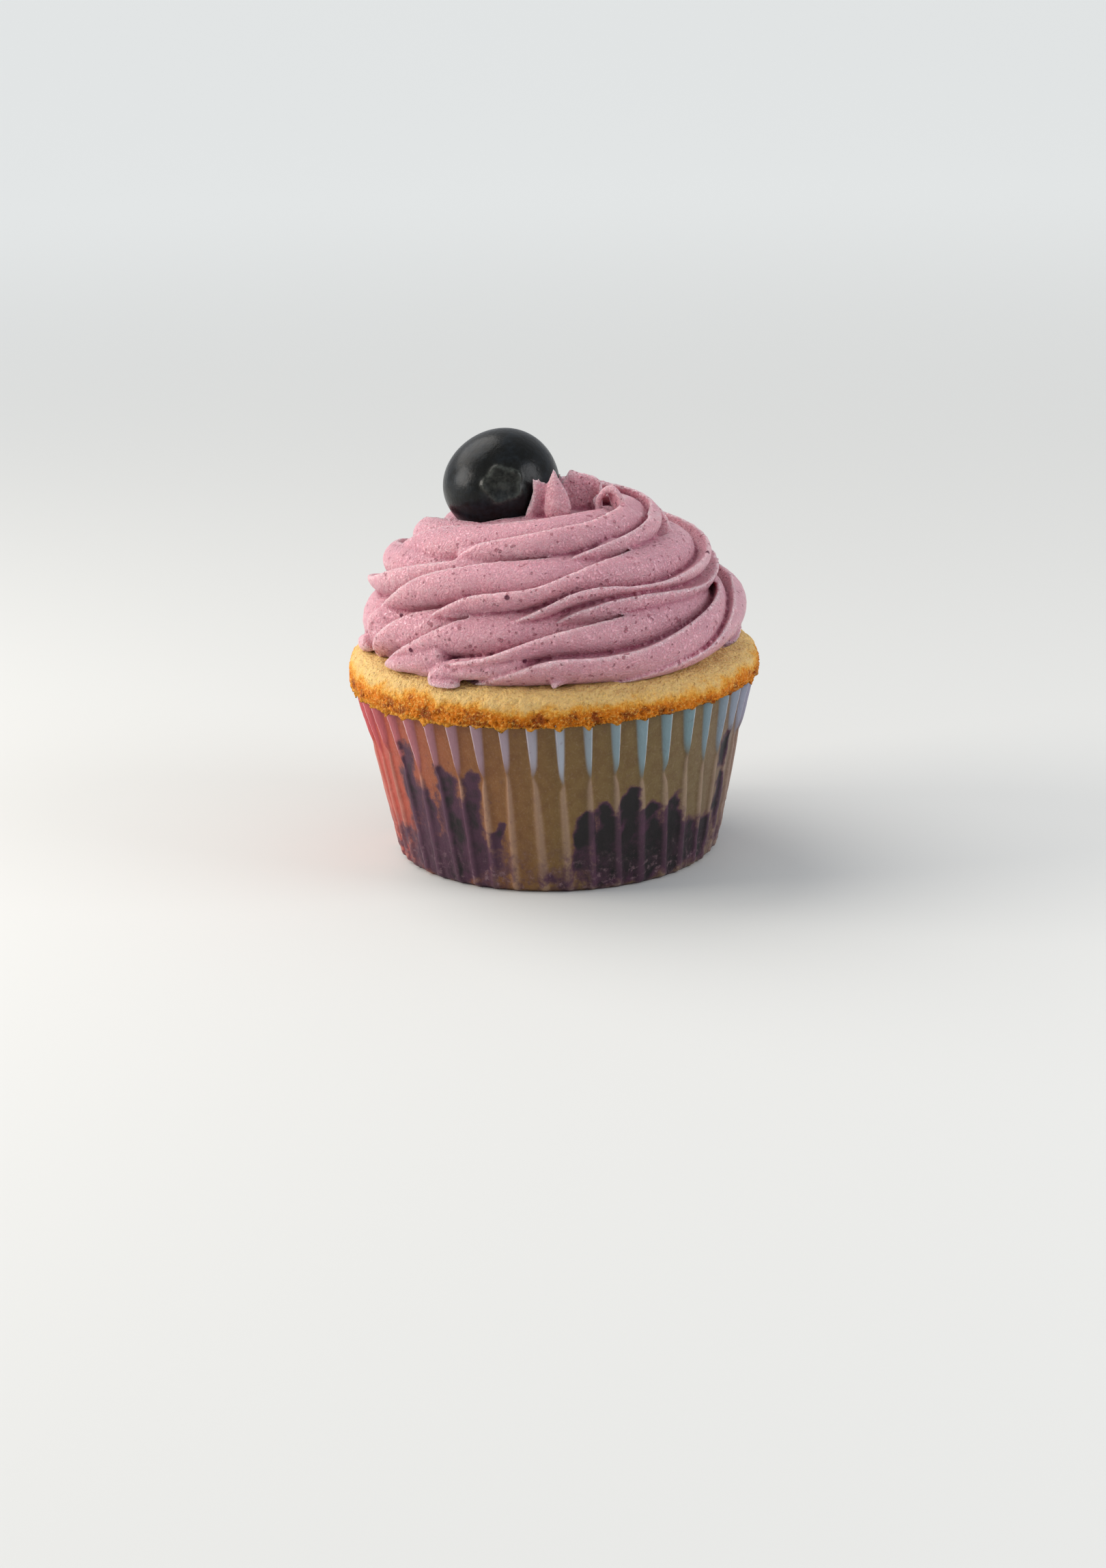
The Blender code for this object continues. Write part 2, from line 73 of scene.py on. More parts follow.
def newPiece(name, points, faces):
    mesh = bpy.data.meshes.new(name)
    mesh.from_pydata((np.asarray(points) * mm).tolist(), [], faces)
    mesh.update()
    piece = bpy.data.objects.new(name, mesh)
    bpy.context.scene.collection.objects.link(piece)
    return piece


def faceOutwards(piece):
    work = bmesh.new()
    work.from_mesh(piece.data)
    bmesh.ops.recalc_face_normals(work, faces=work.faces)
    work.to_mesh(piece.data)
    work.free()


# A closed skin over rings of points, with a point to close on at either end.
def skin(name, rings, firstPoint, lastPoint):
    rings = np.asarray(rings)
    rows, count = rings.shape[:2]
    index = np.arange(rows * count).reshape(rows, count)
    across = np.roll(index, -1, axis=1)
    quads = np.stack([index[:-1], across[:-1], across[1:], index[1:]], -1).reshape(-1, 4)
    first, last = rows * count, rows * count + 1
    startCap = [(first, b, a) for a, b in zip(index[0].tolist(), across[0].tolist())]
    endCap = [(last, a, b) for a, b in zip(index[-1].tolist(), across[-1].tolist())]
    points = np.concatenate([rings.reshape(-1, 3), [firstPoint, lastPoint]])
    piece = newPiece(name, points, quads.tolist() + startCap + endCap)
    faceOutwards(piece)
    return piece


def keepValue(piece, name, values):
    layer = piece.data.attributes.new(name, "FLOAT", "POINT")
    layer.data.foreach_set("value", np.asarray(values, np.float32).ravel())


def pointsOf(piece):
    flat = np.empty(len(piece.data.vertices) * 3, np.float32)
    piece.data.vertices.foreach_get("co", flat)
    return flat.reshape(-1, 3).astype(float) / mm


def movePoints(piece, points):
    piece.data.vertices.foreach_set("co", (points * mm).astype(np.float32).ravel())
    piece.data.update()


def applyModifiers(piece):
    graph = bpy.context.evaluated_depsgraph_get()
    mesh = bpy.data.meshes.new_from_object(piece.evaluated_get(graph))
    piece.modifiers.clear()
    piece.data = mesh


def dress(piece, material, slot, *nodes):
    piece.data.materials.clear()
    piece.data.materials.append(material)
    piece.data.shade_smooth()
    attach(piece, "root")
    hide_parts(*nodes)
    print("made", piece.name, len(piece.data.polygons), "faces")


def screen(red, green, blue):    # a colour as a screen shows it, 0 to 255
    def light(value):
        value /= 255.0
        return value / 12.92 if value <= 0.04045 else ((value + 0.055) / 1.055) ** 2.4
    return (light(red), light(green), light(blue), 1.0)


class Finish:    # a node material being built; sizes of patterns are in millimetres
    def __init__(self, name, **shader):
        self.material = bpy.data.materials.new(name)
        self.material.use_nodes = True
        self.tree = self.material.node_tree
        self.shader = self.tree.nodes["Principled BSDF"]
        for socket, value in shader.items():
            self.set(self.shader, socket.replace("_", " "), value)
        self.place = self.add("ShaderNodeTexCoord").outputs["Object"]

    def set(self, node, socket, value):
        target = node.inputs[socket]
        if isinstance(value, bpy.types.NodeSocket):
            self.tree.links.new(value, target)
        else:
            target.default_value = value

    def add(self, kind, inputs=None, **settings):
        node = self.tree.nodes.new(kind)
        for key, value in settings.items():
            setattr(node, key, value)
        for socket, value in (inputs or {}).items():
            self.set(node, socket, value)
        return node

    def axis(self, name):
        return self.add("ShaderNodeSeparateXYZ", {0: self.place}).outputs[name]

    def kept(self, name):
        return self.add("ShaderNodeAttribute", attribute_name=name).outputs["Fac"]

    def math(self, how, a, b=0.0, c=0.0):
        return self.add("ShaderNodeMath", {0: a, 1: b, 2: c}, operation=how).outputs[0]

    def turnRound(self):    # 0 at the back, through 0.5 at the front, to 1 at the back
        back = self.math("MULTIPLY", self.axis("Y"), -1.0)
        turn = self.math("ARCTAN2", self.axis("X"), back)
        return self.math("MULTIPLY_ADD", turn, 0.5 / math.pi, 0.5)

    def stretched(self, factors):
        node = self.add("ShaderNodeMapping", {"Vector": self.place, "Scale": factors})
        return node.outputs[0]

    def cloud(self, size, detail=3.0, rough=0.55, place=None):
        node = self.add("ShaderNodeTexNoise", {"Vector": place or self.place,
                        "Scale": 1.0 / (size * mm), "Detail": detail, "Roughness": rough})
        return node.outputs["Fac"]

    def cells(self, size, place=None):    # how far it is to the nearest of scattered dots
        node = self.add("ShaderNodeTexVoronoi", {"Vector": place or self.place,
                        "Scale": 1.0 / (size * mm), "Randomness": 1.0})
        return node.outputs["Distance"]

    def fade(self, value, low, high, start=0.0, end=1.0):
        node = self.add("ShaderNodeMapRange", {"Value": value, "From Min": low,
                        "From Max": high, "To Min": start, "To Max": end},
                        interpolation_type="SMOOTHSTEP")
        return node.outputs[0]

    def ramp(self, value, stops):
        node = self.add("ShaderNodeValToRGB", {"Fac": value})
        band = node.color_ramp
        band.elements[0].position = stops[0][0]
        band.elements[0].color = screen(*stops[0][1])
        band.elements[1].position = stops[-1][0]
        band.elements[1].color = screen(*stops[-1][1])
        for position, colour in stops[1:-1]:
            band.elements.new(position).color = screen(*colour)
        return node.outputs["Color"]

    def mix(self, share, a, b, how="MIX"):
        a, b = (screen(*colour) if isinstance(colour, tuple) else colour for colour in (a, b))
        node = self.add("ShaderNodeMix", {0: share, 6: a, 7: b},
                        data_type="RGBA", blend_type=how)
        return node.outputs[2]

    def bump(self, height, depth, under=None):
        inputs = {"Height": height, "Strength": 1.0, "Distance": depth * mm}
        if under:
            inputs["Normal"] = under
        return self.add("ShaderNodeBump", inputs).outputs[0]

    def finish(self, colour, roughness, normal):
        self.set(self.shader, "Base Color", colour)
        self.set(self.shader, "Roughness", roughness)
        self.set(self.shader, "Normal", normal)
        return self.material


view = dict(    # the lens in pixels of a picture 2296 high; place in mm, angles in degrees
    sensor=36.0, lensPixels=4314, pictureHeight=2296,
    place=(-0.62, -461.0, 150.7), down=16.98, roll=-1.35,
)


def makeCamera():
    camera = bpy.data.cameras.new("camera")
    camera.sensor_width = view["sensor"]
    camera.lens = view["sensor"] * view["lensPixels"] / view["pictureHeight"]
    camera.clip_start = 0.01
    holder = bpy.data.objects.new("camera", camera)
    bpy.context.scene.collection.objects.link(holder)
    tilt = Matrix.Rotation(math.radians(90.0 - view["down"]), 4, "X")
    roll = Matrix.Rotation(math.radians(view["roll"]), 4, "Z")
    holder.matrix_world = Matrix.Translation(Vector(view["place"]) * mm) @ tilt @ roll
    bpy.context.scene.camera = holder


studio = dict(
    floorNear=(205, 206, 204), floorFar=(233, 236, 235), floorFade=(0.1, 1.1),
    floorRadius=9000.0, floorRoughness=0.85, lampAim=(0.0, 0.0, 40.0),
    sky=(226, 229, 234), skyStrength=0.72,
    sun=dict(aim=(0.62, -0.5, -0.85), strength=1.6, spread=50.0, colour=(1.0, 0.96, 0.91)),
    lamps=(    # place and size in mm, power, colour
        ((-400.0, -20.0, 190.0), 220.0, 1.5, (1.0, 0.94, 0.86)),
        ((430.0, -160.0, 240.0), 260.0, 1.0, (0.96, 0.97, 1.0)),
    ),
)


def makeStudio():
    rim = around(studio["floorRadius"], circleTurns, 0.0)
    floor = newPiece("floor", rim, [tuple(range(len(rim)))])
    board = Finish("pale floor")
    grain = board.cloud(40.0, 2.0)
    reach = board.add("ShaderNodeVectorMath", {0: board.place}, operation="LENGTH")
    far = board.fade(reach.outputs["Value"], *studio["floorFade"])
    colour = board.mix(far, studio["floorNear"], studio["floorFar"])
    normal = board.bump(grain, 0.05)
    floor.data.materials.append(board.finish(colour, studio["floorRoughness"], normal))
    world = bpy.data.worlds.new("soft sky")
    world.use_nodes = True
    sky = world.node_tree.nodes["Background"].inputs
    sky["Color"].default_value = screen(*studio["sky"])
    sky["Strength"].default_value = studio["skyStrength"]
    bpy.context.scene.world = world
    sun = bpy.data.lights.new("window", "SUN")
    sun.energy = studio["sun"]["strength"]
    sun.angle = math.radians(studio["sun"]["spread"])
    sun.color = studio["sun"]["colour"]
    holder = bpy.data.objects.new("window", sun)
    holder.rotation_euler = Vector(studio["sun"]["aim"]).to_track_quat("-Z", "Y").to_euler()
    bpy.context.scene.collection.objects.link(holder)
    for place, size, power, colour in studio["lamps"]:
        lamp = bpy.data.lights.new("soft lamp", "AREA")
        lamp.size = size * mm
        lamp.energy = power
        lamp.color = colour
        holder = bpy.data.objects.new("soft lamp", lamp)
        holder.location = Vector(place) * mm
        aim = Vector(studio["lampAim"]) * mm - holder.location
        holder.rotation_euler = aim.to_track_quat("-Z", "Y").to_euler()
        bpy.context.scene.collection.objects.link(holder)
    bpy.context.scene.view_settings.view_transform = "Standard"


paper = dict(
    pleats=46, firstFold=1.0, height=29.2, rimTilt=0.9, rimTiltTurn=10.0,
    floorRadius=25.6, rimRadius=31.5, thickness=0.2,
    folds=(    # height, how far a fold stands out, its width
        (0.0, 0.20, 1.0), (0.8, 0.42, 1.5), (12.0, 0.52, 1.5), (17.0, 0.46, 1.0),
        (19.6, 0.45, 0.45), (21.5, 0.62, 0.62), (29.2, 1.15, 1.3)),
    steep=(    # across a fold's steep side: how far it stands out, how dry it is
        (0.74, 1.0), (0.88, 1.0), (1.0, 1.0), (0.5, 0.75), (0.0, 0.0)),
    gentle=((0.74, 1.0), (0.56, 1.0), (0.3, 0.8), (0.1, 0.5), (0.0, 0.12)),
    leftSteep=5.0,    # folds left of this turn are steep on their left side
    kink=19.6, kinkSpread=1.2,    # where a fold is pinched and turns soft below
    pinch=1.1, pinchDepth=0.35, pinchWidth=0.45,
    breadth=(0.85, 1.15), standing=(0.85, 1.12), slant=(-0.35, 0.35), rimUneven=(-0.16, 0.12),
    footRound=0.6, footHeight=0.7,
    flank=0.34, wrinkle=0.13, lean=8.0, leanTurn=50.0, leanWidth=38.0,
    stains=(    # turn, height, half width in mm, half height in mm, strength
        (-52, 20.7, 1.4, 1.7, 0.7), (-53, 16.7, 1.5, 2.8, 0.85), (-53, 12.7, 1.9, 2.6, 0.9),
        (-63, 6.4, 2.0, 1.5, 0.5), (-45, 12.1, 1.3, 2.9, 0.75), (-45, 6.5, 1.4, 3.6, 0.6),
        (-36, 18.1, 1.6, 2.3, 0.9), (-36, 13.8, 1.3, 2.7, 0.9), (-35, 9.3, 1.4, 3.0, 1),
        (-37, 4.3, 1.3, 2.9, 1), (-27, 17.1, 1.3, 2.5, 0.85), (-28, 12.6, 1.6, 2.5, 0.95),
        (-28, 8.3, 1.6, 2.6, 0.9), (-28, 4.8, 1.3, 1.5, 0.7), (-20, 9.6, 1.0, 1.7, 0.9),
        (-46, 4.2, 5.7, 2.8, 0.4), (-21, 6.3, 1.7, 1.3, 0.35), (-3, 2.9, 1.1, 1.1, 0.5),
        (8, 9.9, 1.4, 2.3, 1), (8, 5.9, 1.6, 2.4, 0.6), (15, 13.0, 0.9, 1.4, 1),
        (16, 9.2, 2.0, 2.9, 1), (14, 4.8, 0.8, 2.0, 0.8), (18, 4.0, 1.0, 2.2, 0.45),
        (23, 14.1, 1.8, 1.7, 1), (23, 9.5, 1.3, 3.7, 1), (23, 4.0, 1.1, 3.0, 0.95),
        (27, 7.9, 0.9, 4.8, 0.45), (31, 12.7, 1.6, 1.4, 1), (33, 7.6, 2.0, 2.7, 1),
        (34, 2.6, 1.4, 1.3, 1), (40, 11.0, 1.7, 1.7, 1), (42, 5.5, 1.7, 4.4, 1),
        (50, 4.5, 1.6, 2.9, 1), (58, 4.8, 1.4, 3.4, 1), (65, 18.7, 1.3, 2.4, 0.9),
        (66, 12.1, 1.2, 2.0, 0.8), (69, 9.0, 1.6, 2.3, 0.6), (0, 2.0, 3.0, 1.2, 0.4),
        (13, 2.3, 3.7, 1.3, 0.45), (105, 9.0, 2.4, 6.0, 0.9), (122, 6.0, 2.0, 5.0, 1.0),
        (140, 13.0, 1.8, 3.5, 0.8), (165, 5.0, 3.0, 5.0, 0.95), (182, 9.0, 1.8, 7.0, 0.9),
        (206, 5.0, 1.7, 3.0, 0.7), (228, 10.0, 2.2, 6.5, 0.9), (247, 5.0, 2.6, 4.6, 0.95),
        (262, 14.0, 1.6, 4.0, 0.7), (34, 4.6, 11.5, 3.6, 0.8), (-40, 4.6, 8.5, 4.2, 0.75),
        (-33, 10.6, 4.0, 5.0, 0.6), (-50, 10.6, 3.0, 5.6, 0.5), (27, 8.6, 5.0, 4.0, 0.6)),
    ragged=(3.2, 1.0, 2.4),    # size of the stains' ragged edge, how far it goes across and up
    dry=(    # colour of dry paper round the case, from the back over the left to the right
        (0.00, (160, 124, 140)), (0.17, (176, 72, 78)), (0.30, (178, 76, 80)),
        (0.36, (170, 98, 104)), (0.43, (164, 130, 140)), (0.50, (152, 156, 166)),
        (0.55, (128, 148, 156)), (0.62, (112, 136, 142)), (0.70, (136, 138, 154)),
        (0.80, (150, 130, 150)), (1.00, (160, 124, 140))),
    damp=(    # the same where the cake has soaked it
        (0.00, (132, 88, 74)), (0.17, (170, 74, 62)), (0.30, (174, 66, 54)),
        (0.36, (148, 74, 52)), (0.43, (128, 82, 42)), (0.50, (114, 86, 44)),
        (0.57, (106, 86, 50)), (0.64, (108, 90, 60)), (0.70, (114, 92, 76)),
        (0.80, (122, 88, 78)), (1.00, (132, 88, 74))),
    stainDark=(9, 8, 13), stainPale=(62, 30, 52), bleed=(96, 62, 64), powder=(146, 118, 124),
    # the fold edge colour is a painted highlight along each fold's steep crest; the soft ridge
    # colours are painted highlights on the ridges below the kinks, on plain paper and inside the
    # stains
    foldEdgeHighlight=(228, 218, 224), mottle=(196, 150, 110), grain=(214, 190, 170),
    softRidgeHighlight=(216, 186, 172), juiceRidgeHighlight=(90, 56, 78), juiceFoot=(74, 44, 60),
    plainTurn=0.487,    # where the foot has the fewest stains, on the ramps' scale
)


def rimLift(height, turn):
    share = np.clip(height / paper["height"], 0.0, 1.0) ** 3
    return share * paper["rimTilt"] * np.sin(np.radians(turn - paper["rimTiltTurn"]))


def flatRadius(height):
    share = height / paper["height"]
    return paper["floorRadius"] + (paper["rimRadius"] - paper["floorRadius"]) * share


def foldTurns():
    return paper["firstFold"] + 360.0 * np.arange(paper["pleats"]) / paper["pleats"]


# The wall's outer points: level, pleat and point across the pleat. Each has its turn, how
# far it stands out from the flats, and how much of a fold, a soft ridge or a steep fold edge
# it is; the soft ridges and the steep edges get painted highlights.
def pleatWall(heights):
    rng = np.random.default_rng(11)
    pleats = paper["pleats"]
    kink = paper["kink"] + paper["kinkSpread"] * rng.uniform(-1.0, 1.0, pleats)
    breadth = rng.uniform(*paper["breadth"], pleats)
    standing = rng.uniform(*paper["standing"], pleats)
    slant = rng.uniform(*paper["slant"], (2, pleats))[..., None]
    z = heights[:, None, None]
    zKnots, standKnots, widthKnots = np.array(paper["folds"]).T
    fromKink = z - kink[:, None]
    pinch = bell(fromKink / paper["pinch"])
    stand = np.interp(z, zKnots, standKnots) * standing[:, None]
    stand = stand * (1.0 - paper["pinchDepth"] * pinch)
    half = 0.5 * np.interp(z, zKnots, widthKnots) * breadth[:, None]
    half = half * (1.0 - paper["pinchWidth"] * pinch)
    foot = half + paper["flank"]
    sharp = ease(0.5 + fromKink / 2.0)
    edgeAway = math.pi * flatRadius(z) / pleats
    across = [0.0, half * 0.55, half, half + 0.35 * paper["flank"], foot]
    across += [foot + (edgeAway - foot) * share for share in (0.3, 0.6, 0.85, 1.0)]
    steep, gentle = (list(paper[side]) + [(0.0, 0.0)] * 4 for side in ("steep", "gentle"))
    leftSteep = angleBetween(foldTurns(), 0.0) < paper["leftSteep"]
    steepSide = np.where(leftSteep, -1.0, 1.0)[:, None]
    order = [(-1.0, i) for i in range(7, 0, -1)] + [(1.0, i) for i in range(9)]
    sideways, outwards, fold, ridge = [], [], [], []
    for sign, i in order:
        distance = across[i] + 0.0 * sharp
        rounded = 0.5 + 0.5 * np.cos(math.pi * np.minimum(1.0, distance / foot))
        flap, dryness = (np.where(steepSide == sign, *pair) for pair in zip(steep[i], gentle[i]))
        sideways.append(sign * distance)
        outwards.append(stand * (rounded * (1.0 - sharp) + flap * sharp))
        fold.append(sharp * dryness)
        ridge.append((1.0 - sharp) * rounded)
    sideways, outwards, fold, ridge = (
        np.concatenate(parts, 2) for parts in (sideways, outwards, fold, ridge))
    # a fold is damp just above its kink and dries towards the rim
    fold = fold * (0.35 + 0.65 * np.where(fromKink > -1.0, ease((fromKink + 1.0) / 6.0), 1.0))
    # the steep crest of each fold above its kink, where a painted highlight goes
    crest = np.array([sign * (i == 2) for sign, i in order])
    edge = (crest == steepSide) * ease(fromKink / 3.0)
    below = np.clip(-fromKink / 19.0, 0.0, 1.0)
    drift = slant[0] * pinch + slant[1] * 2.0 * below
    drift = drift * (1.0 - np.square(sideways / edgeAway))    # neighbours keep their shared edge
    turn = foldTurns()[:, None] + np.degrees((sideways + drift) / flatRadius(z))
    lean = paper["lean"] * bell(angleBetween(turn, paper["leanTurn"]) / paper["leanWidth"])
    turn = turn + lean * (1.0 - z / paper["height"])
    return turn, outwards, fold, ridge, edge, rng.uniform(*paper["rimUneven"], pleats)


def stainAt(turn, height):
    stain = np.zeros_like(turn)
    size, sideways, upwards = paper["ragged"]
    places = around(flatRadius(height), turn, height)
    turn = turn + np.degrees(sideways / flatRadius(height)) * cloud(places, size, 2, 2.0)
    height = height + upwards * cloud(places, size, 2, 5.0)
    for middle, level, wide, tall, strength in paper["stains"]:
        side = angleBetween(turn, middle) / np.degrees(wide / flatRadius(height))
        reach = (np.abs(side) ** 3.0 + np.abs((height - level) / tall) ** 3.0) ** (1.0 / 3.0)
        stain = np.maximum(stain, strength * (1.0 - ease((reach - 0.45) / 1.25)))
    return stain


# The outer wall's values, for the inner wall and the floor's points too.
def bothSides(values, levels):
    outer = values.reshape(levels, -1)
    rows = np.concatenate([outer[:1], outer, outer[::-1], outer[:1]])
    return np.concatenate([rows.ravel(), [0.0, 0.0]])


def makePaperCase():
    heights = np.concatenate([[0.0, 0.25, 0.6], np.linspace(1.1, 28.5, 50), [28.9, 29.2]])
    turn, outwards, fold, ridge, edge, rim = pleatWall(heights)
    z = heights[:, None, None] + 0.0 * turn
    count = turn.shape[1] * turn.shape[2]
    radius = flatRadius(z) + outwards
    radius -= paper["footRound"] * (1.0 - ease(z / paper["footHeight"]))
    low = 1.0 - ease((z - 3.0) / 15.0)
    places = around(flatRadius(z), turn, z * 0.6)
    radius += paper["wrinkle"] * low * cloud(places, 1.3, 3) * ease(z / 0.8)
    radius += 0.10 * cloud(places, 4.0, 2, 7.0) * ease(z / 3.0)
    flapTop = (fold > 0.9) * ease((z - 21.0) / 4.0)
    radius += 0.05 * flapTop * cloud(places * 3.0, 1.0, 2, 3.0)
    level = z + rimLift(z, turn) + rim[:, None] * ease((z - 26.0) / 3.0)
    wall = around(radius, turn, level).reshape(len(heights), count, 3)
    inward = around(radius - paper["thickness"], turn, np.maximum(level, paper["thickness"]))
    inner = inward.reshape(len(heights), count, 3)[::-1]
    base = wall[:1] * np.array((0.7, 0.7, 0.0))
    inside = inner[-1:] * np.array((0.7, 0.7, 1.0))
    inside[..., 2] = paper["thickness"]
    rings = np.concatenate([base, wall, inner, inside])
    piece = skin("paper_case_skin", rings, (0.0, 0.0, 0.0), (0.0, 0.0, paper["thickness"]))
    # edge marks where the painted highlight goes along the folds' steep crests
    kept = dict(fold=fold, stain=stainAt(turn, z), edge=edge, ridge=ridge)
    for name, values in kept.items():
        keepValue(piece, name, bothSides(values, len(heights)))
    dress(piece, paperFinish(), "baking_paper", "paper_case")
    return piece


def paperFinish():
    board = Finish("baking paper", Specular_IOR_Level=0.35)
    turn = board.turnRound()
    fold, stain = board.kept("fold"), board.kept("stain")
    height = board.axis("Z")
    dry, damp = board.ramp(turn, paper["dry"]), board.ramp(turn, paper["damp"])
    mottle = board.cloud(1.6, 4.0, 0.6)
    grain = board.cloud(0.35, 3.0, 0.6)
    spots = board.fade(mottle, 0.35, 0.7, 0.0, 0.35)
    soaked = board.mix(spots, damp, paper["mottle"], "MULTIPLY")
    soaked = board.mix(board.fade(grain, 0.5, 0.75, 0.0, 0.08), soaked, paper["grain"])
    ridge = board.kept("ridge")
    # painted highlight on the soft ridges below the kinks
    soaked = board.mix(board.fade(ridge, 0.0, 1.0, 0.0, 0.2), soaked, paper["softRidgeHighlight"])
    pale = board.fade(fold, 0.1, 0.9)
    colour = board.mix(pale, soaked, dry)
    # painted highlight along each fold's steep crest, broken up by a cloud
    rim = board.math("MULTIPLY", board.fade(board.kept("edge"), 0.55, 0.95, 0.0, 0.6),
                     board.fade(board.cloud(1.2), 0.3, 0.6, 0.4, 1.0))
    colour = board.mix(rim, colour, paper["foldEdgeHighlight"])
    ridge = board.fade(ridge, 0.3, 0.95)
    blotch = board.math("SUBTRACT", board.cloud(1.1, 5.0, 0.68), 0.5)
    halo = board.fade(board.math("MULTIPLY_ADD", blotch, 0.8, stain), 0.02, 0.45, 0.0, 0.7)
    halo = board.math("MULTIPLY", halo, board.fade(ridge, 0.0, 1.0, 1.0, 0.6))
    colour = board.mix(halo, colour, paper["bleed"])
    share = board.fade(board.math("MULTIPLY_ADD", blotch, 1.0, stain), 0.08, 0.56, 0.0, 0.97)
    thick = board.math("MULTIPLY_ADD", board.cloud(2.4, 5.0, 0.66), 1.5, stain)
    rightwards = board.fade(turn, 0.44, 0.53, -0.15, 0.25)
    depth = board.fade(board.math("ADD", thick, rightwards), 1.2, 1.85)
    juice = board.mix(depth, paper["stainPale"], paper["stainDark"])
    # painted highlight on the soft ridges inside the stains
    juice = board.mix(board.math("MULTIPLY", ridge, 0.45), juice, paper["juiceRidgeHighlight"])
    colour = board.mix(share, colour, juice)
    away = board.math("ABSOLUTE", board.math("SUBTRACT", turn, paper["plainTurn"]))
    low = board.math("MULTIPLY", board.fade(height, 0.011, 0.002, 0.0, 0.9),
                     board.fade(away, 0.015, 0.06, 0.5, 1.0))
    low = board.math("MULTIPLY", low, board.fade(board.cloud(2.2, 4.0, 0.65), 0.38, 0.6))
    colour = board.mix(board.math("MULTIPLY", low, board.fade(share, 0.0, 1.0, 1.0, 0.3)),
                       colour, paper["juiceFoot"])
    powder = board.math("MULTIPLY", board.fade(board.cloud(1.0, 5.0, 0.68), 0.52, 0.7),
                        board.fade(height, 0.009, 0.001, 0.0, 0.5))
    colour = board.mix(powder, colour, paper["powder"])
    fibres = board.cloud(0.25, 2.0, 0.5, board.stretched((1.0, 1.0, 0.35)))
    normal = board.bump(fibres, 0.05)
    normal = board.bump(mottle, 0.10, normal)
    return board.finish(colour, board.fade(fold, 0.0, 1.0, 0.46, 0.6), normal)


cake = dict(
    segments=46 * 20, floor=0.7, widest=33.2, rimRadius=32.0,
    lipFoot=28.0, lipTop=31.6, lipFade=2.6, lipCentre=(27.5, 28.5),
    edgeHeight=28.95, edgeSpread=0.55,    # where crumbs hang from the lip
    domeTop=36.4, domeRise=2.2, shoulder=30.6,
    outline=(    # radius, height and share of the crumb's roughness, from the wall to the dome
        (24.3, 0.7, 0.0), (25.1, 1.4, 0.0), (30.6, 29.3, 0.0), (32.5, 29.1, 0.3),
        (32.9, 28.9, 1.0), (33.1, 29.6, 1.0), (33.17, 30.6, 1.0), (33.1, 31.5, 1.0),
        (32.75, 32.5, 1.0), (32.0, 33.35, 0.9), (31.2, 33.85, 0.8), (30.2, 34.2, 0.7)),
    spacing=0.21, uneven=0.26, lump=0.26, crumb=0.42,
    droop=0.95, pits=150, pitDepth=0.36,
    pale=(219, 183, 120), gold=(216, 150, 50), toast=(203, 112, 4), burnt=(134, 58, 0),
    # the fleck colour is painted glints on the crumb; the gap and hole colours are painted shade
    # in the gaps between grains and in the holes
    crumbGlint=(250, 206, 112), gap=(170, 108, 30), shadedHole=(160, 110, 50),
)


def domeHeight(radius):
    return cake["domeTop"] - cake["domeRise"] * np.square(radius / cake["shoulder"])


def cakeProfile():
    outline = np.array(cake["outline"])
    wall, curve = outline[:4], outline[4:]
    dome = np.arange(29.6, 21.0, -0.3)
    curve = np.concatenate([curve, np.stack([dome, domeHeight(dome), 0.7 + 0.0 * dome], 1)])
    step = np.linalg.norm(np.diff(curve[:, :2], axis=0), axis=1)
    length = np.concatenate([[0.0], np.cumsum(step)])
    at = np.linspace(0.0, length[-1], int(length[-1] / cake["spacing"]))
    crust = np.stack([np.interp(at, length, column) for column in curve.T], 1)
    middle = [(radius, domeHeight(radius), 0.3) for radius in (18.0, 12.0, 6.0)]
    return np.concatenate([wall, crust, middle])


